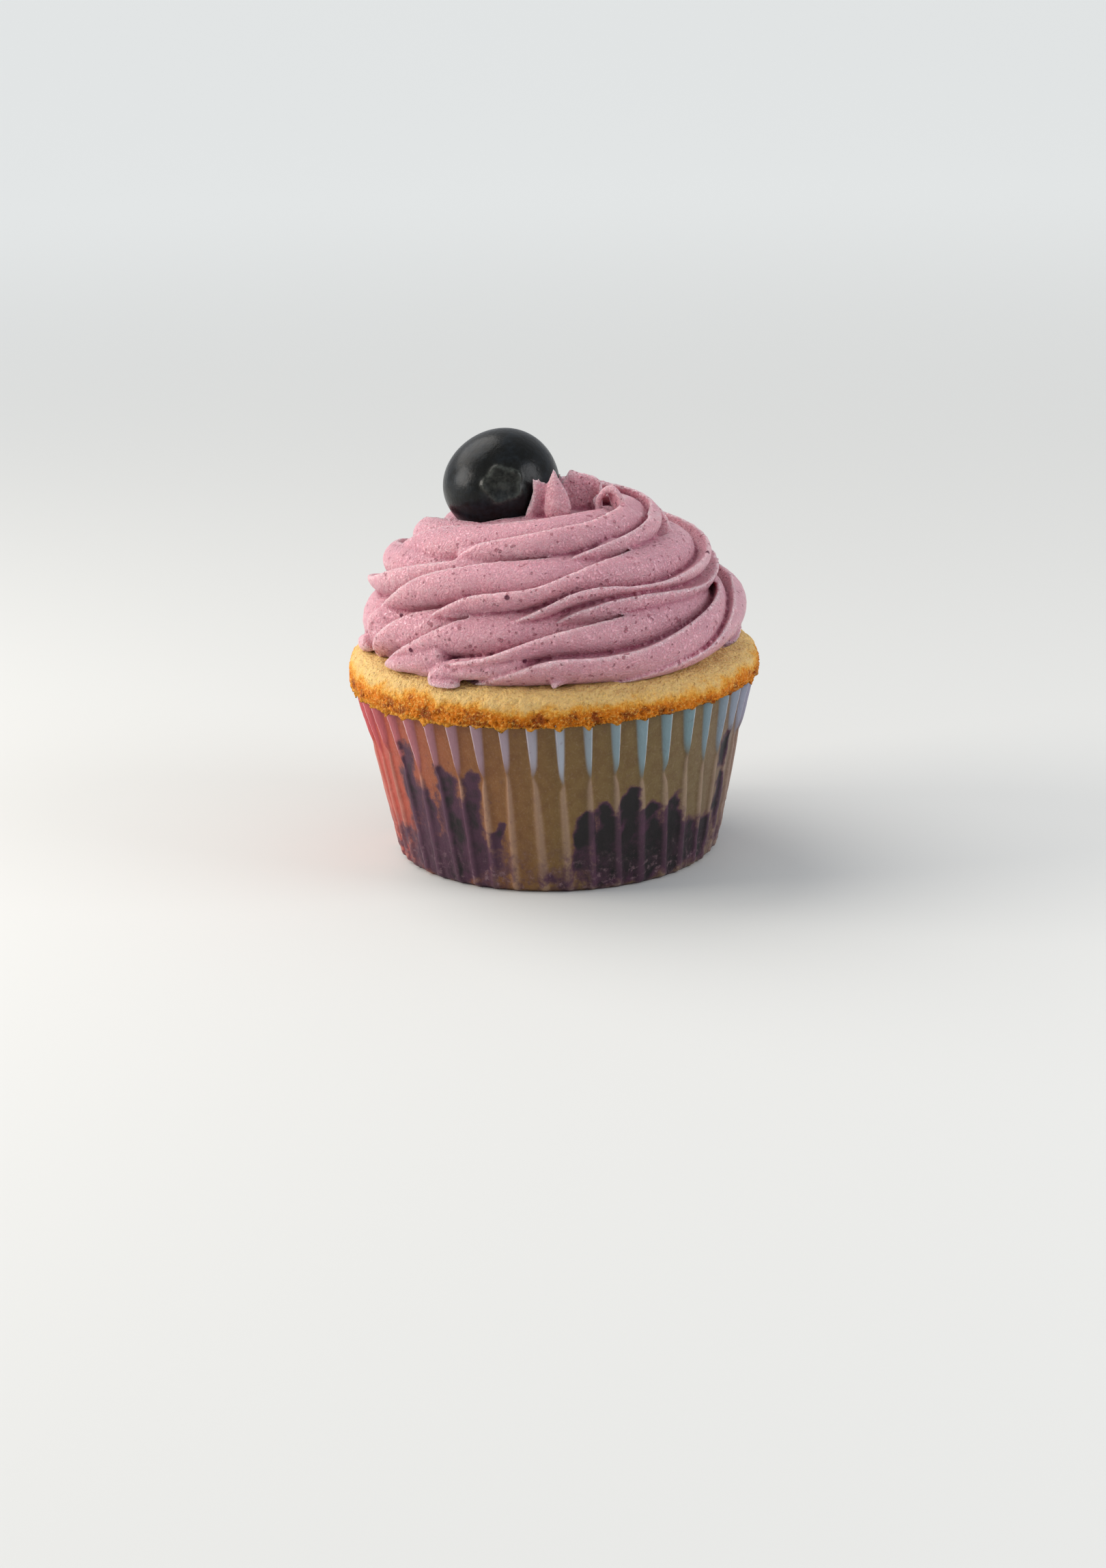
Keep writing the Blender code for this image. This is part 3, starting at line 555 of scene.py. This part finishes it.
def makeCake():
    rng = np.random.default_rng(5)
    rows = cakeProfile()
    turn = paper["firstFold"] + 360.0 * np.arange(cake["segments"]) / cake["segments"]
    radius, height, rough = (rows[:, i][:, None] for i in range(3))
    lipShare = ease((cake["lipTop"] - height) / cake["lipFade"]) * (height > cake["lipFoot"])
    tilt = rimLift(np.array(paper["height"]), turn) * lipShare
    places = around(radius, turn, height)
    nearest = np.abs(angleBetween(turn[:, None], foldTurns()[None, :]))
    whichFold = nearest.argmin(1)
    fromFold = np.radians(nearest.min(1)) * cake["rimRadius"]
    hang = rng.uniform(0.15, 1.0, paper["pleats"])[whichFold] * bell(fromFold / 0.8) ** 2
    edgeShare = bell((height - cake["edgeHeight"]) / cake["edgeSpread"])
    edgeShare = edgeShare * (radius > cake["rimRadius"])
    height = height + tilt - cake["droop"] * hang * edgeShare
    push = cake["uneven"] * (cloud(places, 8.0, 2) - 0.5)
    push = push + cake["lump"] * (cloud(places, 2.2, 3, 4.0) - 0.3)
    grains = 0.7 - 2.2 * np.abs(cloud(places, 0.85, 3, 9.0))    # round grains with creases between
    push = push + cake["crumb"] * grains * (0.3 + 0.7 * lipShare)
    pitTurn = rng.uniform(-180.0, 180.0, cake["pits"])
    pitRow = rng.uniform(0.0, 1.0, cake["pits"]) ** 0.8
    pitHeight = 31.0 + 4.0 * ease(pitRow * 2.0)
    pitPlace = around(cake["widest"] - 7.0 * pitRow, pitTurn, pitHeight)
    for place, size in zip(pitPlace, rng.uniform(0.3, 0.75, cake["pits"])):
        pit = bell(np.linalg.norm(places - place, axis=2) / size)
        push = push - cake["pitDepth"] * size / 0.6 * pit
    middle, level = cake["lipCentre"]    # the crumb is pushed away from here
    lean = np.arctan2(np.maximum(height - level, 0.0), np.maximum(radius - middle, 0.6))
    lean = np.where(radius < cake["shoulder"], 0.5 * math.pi, lean)
    radius = np.minimum(radius + rough * push * np.cos(lean), cake["widest"])
    height = height + rough * push * np.sin(lean)
    piece = skin("cake_crumb", around(radius, turn, height), (0.0, 0.0, cake["floor"]),
                 (0.0, 0.0, cake["domeTop"]))
    dress(piece, cakeFinish(), "sponge", "cake")
    return piece


def cakeFinish():
    board = Finish("sponge", Subsurface_Weight=0.12, Subsurface_Scale=0.003,
                   Subsurface_Radius=(1.0, 0.45, 0.15), Specular_IOR_Level=0.18)
    patch = board.cloud(5.0, 3.0, 0.6)
    crumb = board.cloud(0.55, 4.0, 0.65)
    height = board.axis("Z")    # made uneven, so that the baked colour has a ragged edge
    for pattern, reach in ((patch, 0.0058), (crumb, 0.0016)):
        shift = board.math("MULTIPLY", board.math("SUBTRACT", pattern, 0.5), reach)
        height = board.math("ADD", height, shift)
    lip = board.fade(board.axis("Z"), 0.0286, 0.0292, 0.65, 1.0)    # its lowest edge stays pale
    bake = board.math("MULTIPLY", board.fade(height, 0.0337, 0.0298), lip)
    colour = board.mix(board.fade(bake, 0.0, 0.6), cake["pale"], cake["gold"])
    colour = board.mix(board.fade(bake, 0.4, 0.9), colour, cake["toast"])
    dark = board.math("MULTIPLY", board.fade(board.cloud(2.6, 5.0, 0.68), 0.46, 0.62),
                      board.fade(bake, 0.5, 0.95))
    colour = board.mix(dark, colour, cake["burnt"])
    # painted glints scattered over the crumb
    crumbGlint = board.fade(board.cloud(0.42, 4.0, 0.7), 0.5, 0.68, 0.0, 0.55)
    colour = board.mix(crumbGlint, colour, cake["crumbGlint"])
    # painted shade in the gaps between the crumb's grains
    gap = board.cloud(0.5, 4.0, 0.7, board.stretched((1.0, 1.0, 1.3)))
    colour = board.mix(board.fade(gap, 0.46, 0.32, 0.0, 0.22), colour, cake["gap"])
    # painted shade in the crumb's holes, which the bump below also dents
    shadedHole = board.fade(board.cells(1.1), 0.1, 0.26, 1.0, 0.0)
    colour = board.mix(board.math("MULTIPLY", shadedHole, 0.14), colour, cake["shadedHole"])
    normal = board.bump(crumb, 0.34)
    normal = board.bump(shadedHole, -0.1, normal)
    grain = board.fade(board.cells(0.42), 0.1, 0.6, 1.0, 0.0)
    normal = board.bump(grain, 0.09, normal)
    normal = board.bump(board.cloud(0.3, 4.0, 0.7), 0.09, normal)
    return board.finish(colour, 0.58, normal)


icing = dict(
    lobes=6, lobeDepth=0.50, lobeSamples=18, steepSamples=5, steps=640, turns=2.82, start=-74.0,
    knots=(    # turn, radius of the winding, height, half width, half height
        (0.00, 22.2, 38.4, 8.8, 6.4), (0.10, 22.4, 38.6, 9.4, 6.9), (0.50, 23.0, 38.8, 9.2, 6.7),
        (0.62, 23.0, 39.6, 9.2, 6.5), (0.78, 22.2, 42.6, 8.9, 6.3), (0.92, 21.2, 44.9, 8.6, 6.1),
        (1.05, 20.2, 45.9, 8.7, 6.0), (1.25, 19.4, 46.3, 8.6, 6.0), (1.50, 18.2, 47.0, 8.2, 5.9),
        (1.80, 17.0, 48.8, 8.2, 5.5), (1.97, 16.2, 49.5, 8.8, 5.0), (2.20, 13.2, 52.2, 7.4, 5.2),
        (2.42, 11.2, 52.9, 6.4, 5.0), (2.68, 6.3, 55.2, 4.6, 4.6), (2.82, 3.0, 57.0, 3.0, 4.0)),
    sways=(    # for each lobe: turn, and how many degrees further round the rope it lies
        ((0.00, 0), (0.11, -7), (0.15, -20), (0.20, -16), (0.24, -21), (0.29, -31), (0.33, -35),
         (0.38, -48), (0.80, -60), (1.00, -65), (1.07, -50), (1.10, -26), (1.13, -11),
         (1.19, -20), (1.22, -12), (1.25, -5), (1.30, -7), (1.35, -14), (1.39, -30),
         (1.43, -52), (1.55, -55), (1.85, -20), (2.04, -28), (2.07, -10), (2.10, 29),
         (2.16, 22), (2.21, 13), (2.25, 4), (2.34, 0), (2.41, -17)),
        ((0.00, 30), (0.02, 14), (0.04, -7), (0.08, -16), (0.12, -11), (0.15, -17),
         (0.20, -28), (0.24, -48), (0.28, -60), (0.85, -55), (0.93, -64), (0.97, -74),
         (1.01, -71), (1.04, -57), (1.06, -37), (1.08, -25), (1.13, -16), (1.17, -19),
         (1.24, -28), (1.40, -50), (1.55, -55), (1.85, -15), (1.97, -8), (2.01, 38),
         (2.06, 28), (2.10, 19), (2.16, 4), (2.21, -9), (2.30, -15)),
        ((0.00, -10), (0.04, -15), (0.07, -22), (0.10, -38), (0.20, -50), (0.50, -60),
         (0.88, -75), (0.99, -86), (1.04, -72), (1.08, -66), (1.12, -55), (1.55, -55),
         (1.85, -15), (2.00, 20), (2.10, 20), (2.20, 0)),
        ((0.00, 0), (0.50, -10), (0.85, -70), (1.00, -80), (1.10, -60), (1.55, -55),
         (1.85, -15), (2.00, 10), (2.20, 0)),
        ((0.00, 0), (0.34, 0), (0.38, 18), (0.40, 24), (0.43, 27), (0.48, 10), (0.55, -5),
         (0.85, -65), (1.00, -60), (1.10, -20), (1.18, 15), (1.22, 50), (1.26, 52),
         (1.30, 38), (1.34, 17), (1.38, -5), (1.42, -15), (1.48, -25), (1.55, -45),
         (1.85, -15), (2.10, 0)),
        ((0.00, 0), (0.15, 5), (0.20, 12), (0.22, 3), (0.24, -8), (0.28, -18), (0.33, -15),
         (0.43, -14), (0.50, -10), (0.85, -62), (1.00, -62), (1.10, -30), (1.18, 0),
         (1.22, 20), (1.25, 17), (1.28, -1), (1.32, -17), (1.39, -31), (1.48, -43),
         (1.55, -52), (1.85, -15), (2.10, 0), (2.20, 8), (2.23, 14), (2.27, 13),
         (2.32, 8), (2.36, 6), (2.41, -1), (2.60, -5))),
    swayReach=4,
    skirtLobe=5, skirtTurn=0.29, skirtLength=0.13, skirtShare=0.85,    # the smooth lowest face
    drift=(2.4, -0.6), driftTurns=(1.7, 2.7), climb=0.97, startClimb=150.0,
    startClimbTurns=0.08, phase=-135.0, grooveShare=0.13, leanOver=0.25,
    core=((27.5, 30.0), (27.5, 38.5), (24.2, 45.8), (18.5, 52.2), (9.0, 55.2)),
    coreTop=56.0, voxel=0.29, sunk=0.12, footReach=31.5,    # it sinks this far into the cake
    petals=(    # slices of each petal: x, y, height, half width, half thickness
        ((1.1, -5.4, 54.4, 1.2, 1.2), (1.1, -5.4, 55.6, 1.9, 1.7), (1.15, -5.4, 56.8, 2.2, 1.9),
         (1.1, -5.35, 58.0, 2.0, 1.8), (1.0, -5.2, 59.2, 1.7, 1.5), (0.8, -5.1, 60.4, 1.25, 1.1),
         (0.7, -5.0, 61.5, 0.75, 0.7), (0.65, -5.0, 62.5, 0.3, 0.3), (0.6, -5.0, 63.0, 0.1, 0.1)),
        ((-3.3, -5.0, 54.6, 1.0, 0.5), (-3.0, -5.0, 56.5, 0.8, 0.5), (-2.5, -5.0, 58.5, 0.5, 0.4),
         (-2.4, -5.0, 60.0, 0.25, 0.25))),
    sheets=(    # slices of each upright sheet: x, y, middle height, half height, half thickness
        ((-2.75, -5.0, 60.8, 0.7, 0.12), (-2.5, -4.9, 59.2, 2.4, 0.35),
         (-2.2, -4.9, 58.3, 2.9, 0.45), (-1.8, -4.85, 58.4, 3.3, 0.45),
         (-1.4, -4.8, 58.1, 2.9, 0.45), (-0.9, -4.8, 58.1, 3.1, 0.45),
         (-0.4, -4.7, 57.7, 2.8, 0.4), (0.2, -4.6, 57.2, 2.2, 0.3)),
        ((1.9, -0.7, 57.8, 2.1, 0.3), (2.6, -0.4, 58.0, 3.1, 0.6), (3.3, -0.1, 58.4, 3.75, 0.7),
         (4.2, 0.1, 58.1, 3.5, 0.9), (5.6, 0.3, 57.8, 3.4, 1.0), (7.0, 0.1, 57.6, 3.3, 1.0),
         (7.9, -0.7, 57.3, 3.1, 0.9), (8.3, -1.8, 56.8, 2.7, 0.6))),
    tongues=(    # curled ends of lobes: turn, radius, height and half thickness along each
        ((-8, 28.8, 38.2, 1.7), (-14, 29.2, 37.6, 1.8), (-22.5, 29.6, 36.9, 1.75),
         (-30.5, 30.0, 36.5, 1.65), (-36.0, 30.7, 35.6, 1.3), (-37.0, 31.2, 34.4, 0.9),
         (-33, 31.3, 34.1, 1.1), (-28, 30.8, 34.4, 0.9)),
        ((-60.0, 30.4, 34.8, 0.5), (-54.0, 30.2, 35.6, 1.3), (-49.0, 29.4, 36.4, 2.1),
         (-42.0, 28.4, 37.4, 2.9), (-34.0, 27.4, 38.4, 3.4)),
        ((-57.0, 28.4, 39.2, 1.8), (-50.0, 27.6, 40.5, 2.4), (-43.0, 27.0, 41.6, 2.3),
         (-37.0, 26.2, 42.4, 1.6)),
        ((-93, 30.6, 34.6, 0.9), (-84, 30.0, 35.2, 1.4), (-76, 29.6, 36.6, 1.6)),
        ((-37.0, 27.9, 43.9, 0.4), (-35.5, 27.3, 44.6, 1.1), (-31.0, 26.2, 45.1, 1.6),
         (-25.0, 25.0, 45.4, 1.7)),
        ((-45.0, 20.0, 51.4, 1.3), (-38.0, 19.5, 51.9, 1.5), (-28.0, 18.7, 52.2, 1.5)),
        ((18, 20.4, 51.9, 0.5), (24, 19.0, 52.8, 0.9), (33, 18.4, 53.4, 1.0)),
        ((-0.3, 30.7, 34.3, 0.3), (-0.1, 30.2, 35.0, 0.7), (2.0, 29.3, 35.8, 1.3),
         (7.5, 28.0, 36.6, 1.6)),
        ((55.5, 9.3, 55.4, 0.7), (53.6, 9.5, 58.2, 0.6), (55.1, 10.7, 59.8, 0.6),
         (57.8, 12.0, 59.9, 0.75), (59.5, 13.2, 58.3, 1.0), (59.0, 14.0, 55.8, 1.3),
         (55.4, 14.2, 53.4, 1.5), (48.0, 14.0, 51.6, 1.5)),
        ((-168, 24.5, 36.0, 1.5), (-145, 24.8, 37.2, 4.2), (-115, 25.2, 38.2, 5.2),
         (-85, 25.0, 38.6, 5.6), (-60, 24.6, 38.6, 5.0))),
    hollow=((9.1, -6.3, 57.4), 1.15, 3.6),    # the curl's hollow: middle, half width, depth
    notch=((56.5, 61.0, 80.0), (55.6, 57.2, 60.5, 62.0), 1.6),    # turns, heights, depth
    # the crest colour is a painted highlight on the lobes' crests; crease and shade are painted
    # shade in the creases and broad valleys
    colour=(226, 166, 178), crest=(242, 200, 205), crease=(180, 88, 112), shade=(214, 138, 154),
    cloudy=(204, 140, 160), sandDark=(172, 96, 118), sandPale=(248, 214, 216),
    # the pit and speck colours are painted shade in the icing's small dents
    pit=(156, 66, 86), shadedSpeck=(160, 82, 104), fruit=(104, 28, 60),
)


def ropeKnots(turn, table, column, reach):
    table = np.array(table)
    plain = np.interp(turn, table[:, 0], table[:, column])
    window = np.hanning(2 * reach + 3)[1:-1]
    padded = np.pad(plain, reach, mode="reflect", reflect_type="odd")
    return np.convolve(padded, window / window.sum(), "valid")


def lobeShape():
    groove, few = icing["grooveShare"], icing["steepSamples"]
    steep = np.linspace(0.0, groove, few, endpoint=False)
    broad = np.linspace(groove, 1.0, icing["lobeSamples"] - few, endpoint=False)
    rising = np.sin(0.5 * math.pi * (broad - groove) / (1.0 - groove)) ** 0.8
    return np.concatenate([steep, broad]), np.concatenate([1.0 - ease(steep / groove), rising])


def makeRope():
    turn = np.linspace(0.0, icing["turns"], icing["steps"])
    heading = np.radians(icing["start"] - 90.0) + 2.0 * math.pi * turn
    winding, height, halfWidth, halfHeight = (
        ropeKnots(turn, icing["knots"], column, icing["steps"] // 24) for column in range(1, 5))
    climb = 2.0 * math.pi * icing["climb"] * turn + math.radians(icing["phase"])
    climb += math.radians(icing["startClimb"]) * (1.0 - np.exp(-turn / icing["startClimbTurns"]))
    begin, end = icing["driftTurns"]
    drift = ease((turn - begin) / (end - begin))
    share, stand = lobeShape()
    lobe = np.arange(icing["lobes"])[None, :, None]
    width = 2.0 * math.pi / icing["lobes"]
    shift = np.radians(np.stack([ropeKnots(turn, sway, 1, icing["swayReach"])
                                 for sway in icing["sways"]], 1))
    below = np.roll(shift, 1, axis=1)    # a lobe's face reaches up from the crest below it
    lobeTurn = shift[..., None] * share + below[..., None] * (1.0 - share)
    leaning = icing["leanOver"] * (stand - 0.4)
    angle = climb[:, None, None] + width * (lobe + share + leaning) + lobeTurn
    depth = icing["lobeDepth"] * (1.0 + 0.15 * np.sin(lobe * 2.3 + turn[:, None, None] * 7.0))
    skirt = bell((turn - icing["skirtTurn"]) / icing["skirtLength"])[:, None, None]
    depth = depth * (1.0 - icing["skirtShare"] * skirt * (lobe == icing["skirtLobe"]))
    reach = 1.0 - depth * (1.0 - stand)
    side = (reach * halfWidth[:, None, None] * np.sin(angle)).reshape(len(turn), -1)
    up = (-reach * halfHeight[:, None, None] * np.cos(angle)).reshape(len(turn), -1)
    out = winding[:, None] + side
    x = icing["drift"][0] * drift[:, None] + out * np.cos(heading)[:, None]
    y = icing["drift"][1] * drift[:, None] + out * np.sin(heading)[:, None]
    rings = np.stack([x, y, height[:, None] + up], -1)
    return skin("rope", rings, rings[0].mean(0), rings[-1].mean(0))


def makeCore():
    rings = [around(radius, circleTurns, height) for radius, height in icing["core"]]
    return skin("core", rings, (0.0, 0.0, icing["core"][0][1]), (0.0, 0.0, icing["coreTop"]))


# A smooth row of points through a few given ones, each column on its own.
def smoothRow(knots, count):
    knots = np.array(knots, float)
    plain = np.linspace(0.0, len(knots) - 1.0, count)
    rows = np.stack([np.interp(plain, np.arange(len(knots)), column) for column in knots.T], 1)
    reach = max(1, count // (2 * len(knots)))
    window = np.hanning(2 * reach + 3)[1:-1]
    padded = np.pad(rows, ((reach, reach), (0, 0)), mode="reflect", reflect_type="odd")
    smooth = [np.convolve(column, window / window.sum(), "valid") for column in padded.T]
    return np.stack(smooth, 1)


def makePetal(slices):
    rows = smoothRow(slices, 30)
    turn = np.linspace(0.0, 2.0 * math.pi, 32, endpoint=False)[None, :]
    x, y, height, half, thick = (rows[:, i][:, None] for i in range(5))
    rings = np.stack([x + half * np.cos(turn), y + thick * np.sin(turn), height + 0.0 * turn], -1)
    return skin("petal", rings, rings[0].mean(0), rings[-1].mean(0))


def makeSheet(slices):
    rows = smoothRow(slices, 60)
    turn = np.linspace(0.0, 2.0 * math.pi, 40, endpoint=False)[None, :]
    x, y, height, half, thick = (rows[:, i][:, None] for i in range(5))
    upwards = np.sign(np.cos(turn)) * np.abs(np.cos(turn)) ** 0.6
    rings = np.stack([x + 0.0 * turn, y + thick * np.sin(turn), height + half * upwards], -1)
    return skin("sheet", rings, rings[0].mean(0), rings[-1].mean(0))


# A round tube along a row of points, closed at both ends.
def makeTongue(knots):
    count = 36
    rows = smoothRow(knots, count)
    path = around(rows[:, 1], rows[:, 0], rows[:, 2])
    along = np.gradient(path, axis=0)
    along /= np.linalg.norm(along, axis=1)[:, None]
    side = np.cross(along, (0.0, 0.0, 1.0))
    side /= np.maximum(np.linalg.norm(side, axis=1), 1e-6)[:, None]
    upwards = np.cross(side, along)
    turn = np.linspace(0.0, 2.0 * math.pi, 20, endpoint=False)[None, :, None]
    fromEnd = np.minimum(np.arange(count), np.arange(count)[::-1])
    rounded = np.sqrt(np.clip(fromEnd / 3.0 + 0.15, 0.0, 1.0))
    thick = (rows[:, 3] * rounded)[:, None, None]
    ring = side[:, None] * np.cos(turn) + upwards[:, None] * np.sin(turn)
    rings = path[:, None] + thick * ring
    return skin("tongue", rings, path[0], path[-1])


def join(pieces):
    with bpy.context.temp_override(active_object=pieces[0], selected_editable_objects=pieces):
        bpy.ops.object.join()
    return pieces[0]


# How hollow the surface is at each point: above 0 in a crease, below 0 on a crest.
def creaseOf(piece, points, rounds):
    edges = np.empty(len(piece.data.edges) * 2, np.int32)
    piece.data.edges.foreach_get("vertices", edges)
    a, b = edges.reshape(-1, 2).T
    normals = np.empty(len(points) * 3, np.float32)
    piece.data.vertices.foreach_get("normal", normals)
    links = np.bincount(a, minlength=len(points)) + np.bincount(b, minlength=len(points))
    smooth = points.copy()
    for _ in range(rounds):
        total = np.zeros_like(smooth)
        for i in range(3):
            total[:, i] = np.bincount(a, smooth[b, i], len(points))
            total[:, i] += np.bincount(b, smooth[a, i], len(points))
        smooth = 0.5 * smooth + 0.5 * total / np.maximum(links, 1)[:, None]
    return ((smooth - points) * normals.reshape(-1, 3)).sum(1)


# The berry sits in a hollow of its own form.
def makeRoom(points):
    centre = np.array(berry["centre"])
    squash = np.array((1.0, 1.0, berry["flatten"]))
    away = (points - centre) / squash
    distance = np.linalg.norm(away, axis=1)
    room = berry["radius"] + berry["gap"]
    inside = distance < room
    points[inside] = centre + (away * (room / distance)[:, None] * squash)[inside]


def carveCurl(points):
    middle, width, deep = icing["hollow"]
    offset = points - np.array(middle)
    sunk = bell(np.hypot(offset[:, 0], 0.75 * offset[:, 2]) / width) ** 2
    points[:, 1] += deep * sunk * (np.abs(offset[:, 1]) < 3.0)


def carveNotch(points):
    notchTurns, (foot, low, high, top), deep = icing["notch"]
    turn = np.degrees(np.arctan2(points[:, 0], -points[:, 1]))
    height = points[:, 2]
    cut = np.interp(turn, notchTurns, (0.0, 1.0, 0.0)) * ease((height - foot) / (low - foot))
    cut *= 1.0 - ease((height - high) / (top - high))
    radius = np.hypot(points[:, 0], points[:, 1])
    points[:, :2] *= (1.0 - deep * cut / np.maximum(radius, 5.0))[:, None]


def makeIcing():
    extras = [makePetal(petal) for petal in icing["petals"]]
    extras += [makeSheet(sheet) for sheet in icing["sheets"]]
    extras += [makeTongue(tongue) for tongue in icing["tongues"]]
    piece = join([makeRope(), makeCore()] + extras)
    remesh = piece.modifiers.new("one body", "REMESH")
    remesh.mode = "VOXEL"
    remesh.voxel_size = icing["voxel"] * mm
    applyModifiers(piece)
    points = pointsOf(piece)
    points += 0.05 * cloud(points, 1.6, 3)[:, None]
    radius = np.hypot(points[:, 0], points[:, 1])
    floor = domeHeight(np.minimum(radius, icing["footReach"])) - icing["sunk"]
    points[:, 2] = np.maximum(points[:, 2], floor)
    makeRoom(points)
    carveCurl(points)
    carveNotch(points)
    movePoints(piece, points)
    # how hollow each point is, for painted shade in creases and valleys and a painted highlight on
    # crests
    keepValue(piece, "crease", creaseOf(piece, points, 20))
    keepValue(piece, "valleyShade", creaseOf(piece, points, 110))
    piece.name = "icing_swirl"
    dress(piece, icingFinish(), "icing", "icing")
    return piece


def icingFinish():
    board = Finish("berry icing", Subsurface_Weight=0.4, Subsurface_Scale=0.0022,
                   Subsurface_Radius=(1.0, 0.42, 0.5), Specular_IOR_Level=0.4)
    crease = board.kept("crease")
    valleyShade = board.fade(board.kept("valleyShade"), 0.05, 0.9)
    # painted shade in the broad valleys
    colour = board.mix(valleyShade, icing["colour"], icing["shade"])
    # painted shade in the creases
    colour = board.mix(board.fade(crease, 0.02, 0.26), colour, icing["crease"])
    # painted highlight on the crests
    colour = board.mix(board.fade(crease, -0.02, -0.2), colour, icing["crest"])
    cloudy = board.fade(board.cloud(6.0, 3.0), 0.3, 0.7, 0.0, 0.3)
    colour = board.mix(cloudy, colour, icing["cloudy"])
    warp = board.add("ShaderNodeTexNoise", {"Vector": board.place, "Scale": 1.0 / (0.7 * mm)})
    warp = board.add("ShaderNodeVectorMath", {0: warp.outputs["Color"], 1: (0.5, 0.5, 0.5)},
                     operation="SUBTRACT")
    warp = board.add("ShaderNodeVectorMath", {0: warp.outputs[0], 1: (0.6 * mm,) * 3,
                                              2: board.place}, operation="MULTIPLY_ADD")
    warped = warp.outputs[0]    # so that the holes aren't round
    size = board.math("MULTIPLY", board.fade(board.cloud(1.3, 2.0), 0.38, 0.64, 0.0, 0.34),
                      board.fade(board.cloud(7.0, 2.0), 0.32, 0.52, 0.6, 1.0))
    pit = board.fade(board.math("SUBTRACT", size, board.cells(1.0, warped)), -0.03, 0.08)
    shadedSpeck = board.math("MULTIPLY", board.fade(board.cells(0.5, warped), 0.1, 0.26, 1.0, 0.0),
                       board.fade(board.cloud(2.5, 2.0), 0.45, 0.65))
    sand = board.cloud(0.22, 3.0, 0.6)
    colour = board.mix(board.fade(sand, 0.5, 0.3, 0.0, 0.3), colour, icing["sandDark"])
    colour = board.mix(board.fade(sand, 0.52, 0.72, 0.0, 0.35), colour, icing["sandPale"])
    # painted shade in the pits and specks, which the bumps below also dent
    colour = board.mix(board.math("MULTIPLY", pit, 0.58), colour, icing["pit"])
    colour = board.mix(board.math("MULTIPLY", shadedSpeck, 0.35), colour, icing["shadedSpeck"])
    scrap = board.fade(board.cells(7.0), 0.045, 0.075, 1.0, 0.0)
    colour = board.mix(scrap, colour, icing["fruit"])
    normal = board.bump(pit, -0.3)
    normal = board.bump(shadedSpeck, -0.08, normal)
    pocks = board.fade(board.cloud(0.45, 4.0, 0.62), 0.35, 0.62)
    normal = board.bump(pocks, 0.26, normal)
    normal = board.bump(board.cloud(2.0, 2.0), 0.12, normal)
    return board.finish(colour, 0.35, normal)


berry = dict(
    rings=84, segments=144,
    centre=(-7.6, 4.0, 59.2), radius=9.36, flatten=0.93, uneven=0.02, gap=0.03,
    crownAim=(0.02, -0.96, 0.18), crownRadius=2.75, crownRise=0.36, crownEdge=0.42,
    crownPoints=5, crownWave=0.075, navel=0.16, navelWidth=0.7,
    skin=(6, 7, 6), bloom=(46, 58, 70), crown=(78, 80, 72), crownRim=(84, 88, 82),
)


def makeBerry():
    aim = Vector(berry["crownAim"]).normalized()
    across = aim.cross(Vector((0.0, 0.0, 1.0))).normalized()
    upwards = np.array(across.cross(aim))
    aim, across = np.array(aim), np.array(across)
    polar = np.arange(1, berry["rings"])[:, None] / berry["rings"]
    polar = math.pi * polar ** 1.35    # finer towards the crown
    turn = np.linspace(0.0, 2.0 * math.pi, berry["segments"], endpoint=False)[None, :]
    radius = berry["radius"] * (1.0 + berry["uneven"] * np.cos(3.0 * turn + 0.6) * np.sin(polar))
    offAxis = radius * np.sin(polar)
    wave = np.cos(berry["crownPoints"] * turn)
    edge = berry["crownRadius"] * (1.0 + berry["crownWave"] * wave)
    near = polar < 1.0
    rise = berry["crownRise"] * (0.8 + 0.3 * wave)
    radius = radius + near * rise * bell((offAxis - edge) / berry["crownEdge"])
    radius = radius - near * berry["crownRise"] * bell(offAxis / (0.6 * edge))
    radius = radius + near * berry["navel"] * bell(offAxis / berry["navelWidth"])
    side = across * np.cos(turn)[..., None] + upwards * np.sin(turn)[..., None]
    points = radius[..., None] * (aim * np.cos(polar)[..., None] + side * np.sin(polar)[..., None])
    points = points + 0.04 * cloud(points, 1.6, 3)[..., None] * bell(offAxis / 4.0)[..., None]
    points = points * np.array((1.0, 1.0, berry["flatten"])) + np.array(berry["centre"])
    piece = skin("berry_skin", points, points[0].mean(0), points[-1].mean(0))
    crown, rim = near * bell(offAxis / 2.6), near * bell((offAxis - edge) / 0.4)
    keepValue(piece, "crown", np.concatenate([crown.ravel(), [1.0, 0.0]]))
    keepValue(piece, "crownRim", np.concatenate([rim.ravel(), [0.0, 0.0]]))
    dress(piece, berryFinish(), "berry_skin", "berry")
    return piece


def berryFinish():
    board = Finish("berry skin", Specular_IOR_Level=0.16, Coat_Weight=0.04, Coat_Roughness=0.15)
    cloudy = board.cloud(5.0, 4.0, 0.6)
    fine = board.cloud(0.8, 4.0, 0.6)
    wear = board.math("MULTIPLY_ADD", cloudy, 0.7, board.math("MULTIPLY", fine, 0.3))
    bloom = board.fade(wear, 0.42, 0.72, 0.0, 0.3)
    colour = board.mix(bloom, berry["skin"], berry["bloom"])
    crown = board.math("MULTIPLY", board.kept("crown"), board.fade(fine, 0.3, 0.7, 0.1, 0.5))
    colour = board.mix(crown, colour, berry["crown"])
    rim = board.math("MULTIPLY", board.kept("crownRim"), board.fade(fine, 0.3, 0.65, 0.1, 0.6))
    colour = board.mix(rim, colour, berry["crownRim"])
    roughness = board.fade(wear, 0.4, 0.7, 0.26, 0.42)
    normal = board.bump(fine, 0.05)
    normal = board.bump(cloudy, 0.12, normal)
    return board.finish(colour, roughness, normal)


makeCamera()
makeStudio()
print("studio is set")
makePaperCase()
makeCake()
makeIcing()
makeBerry()
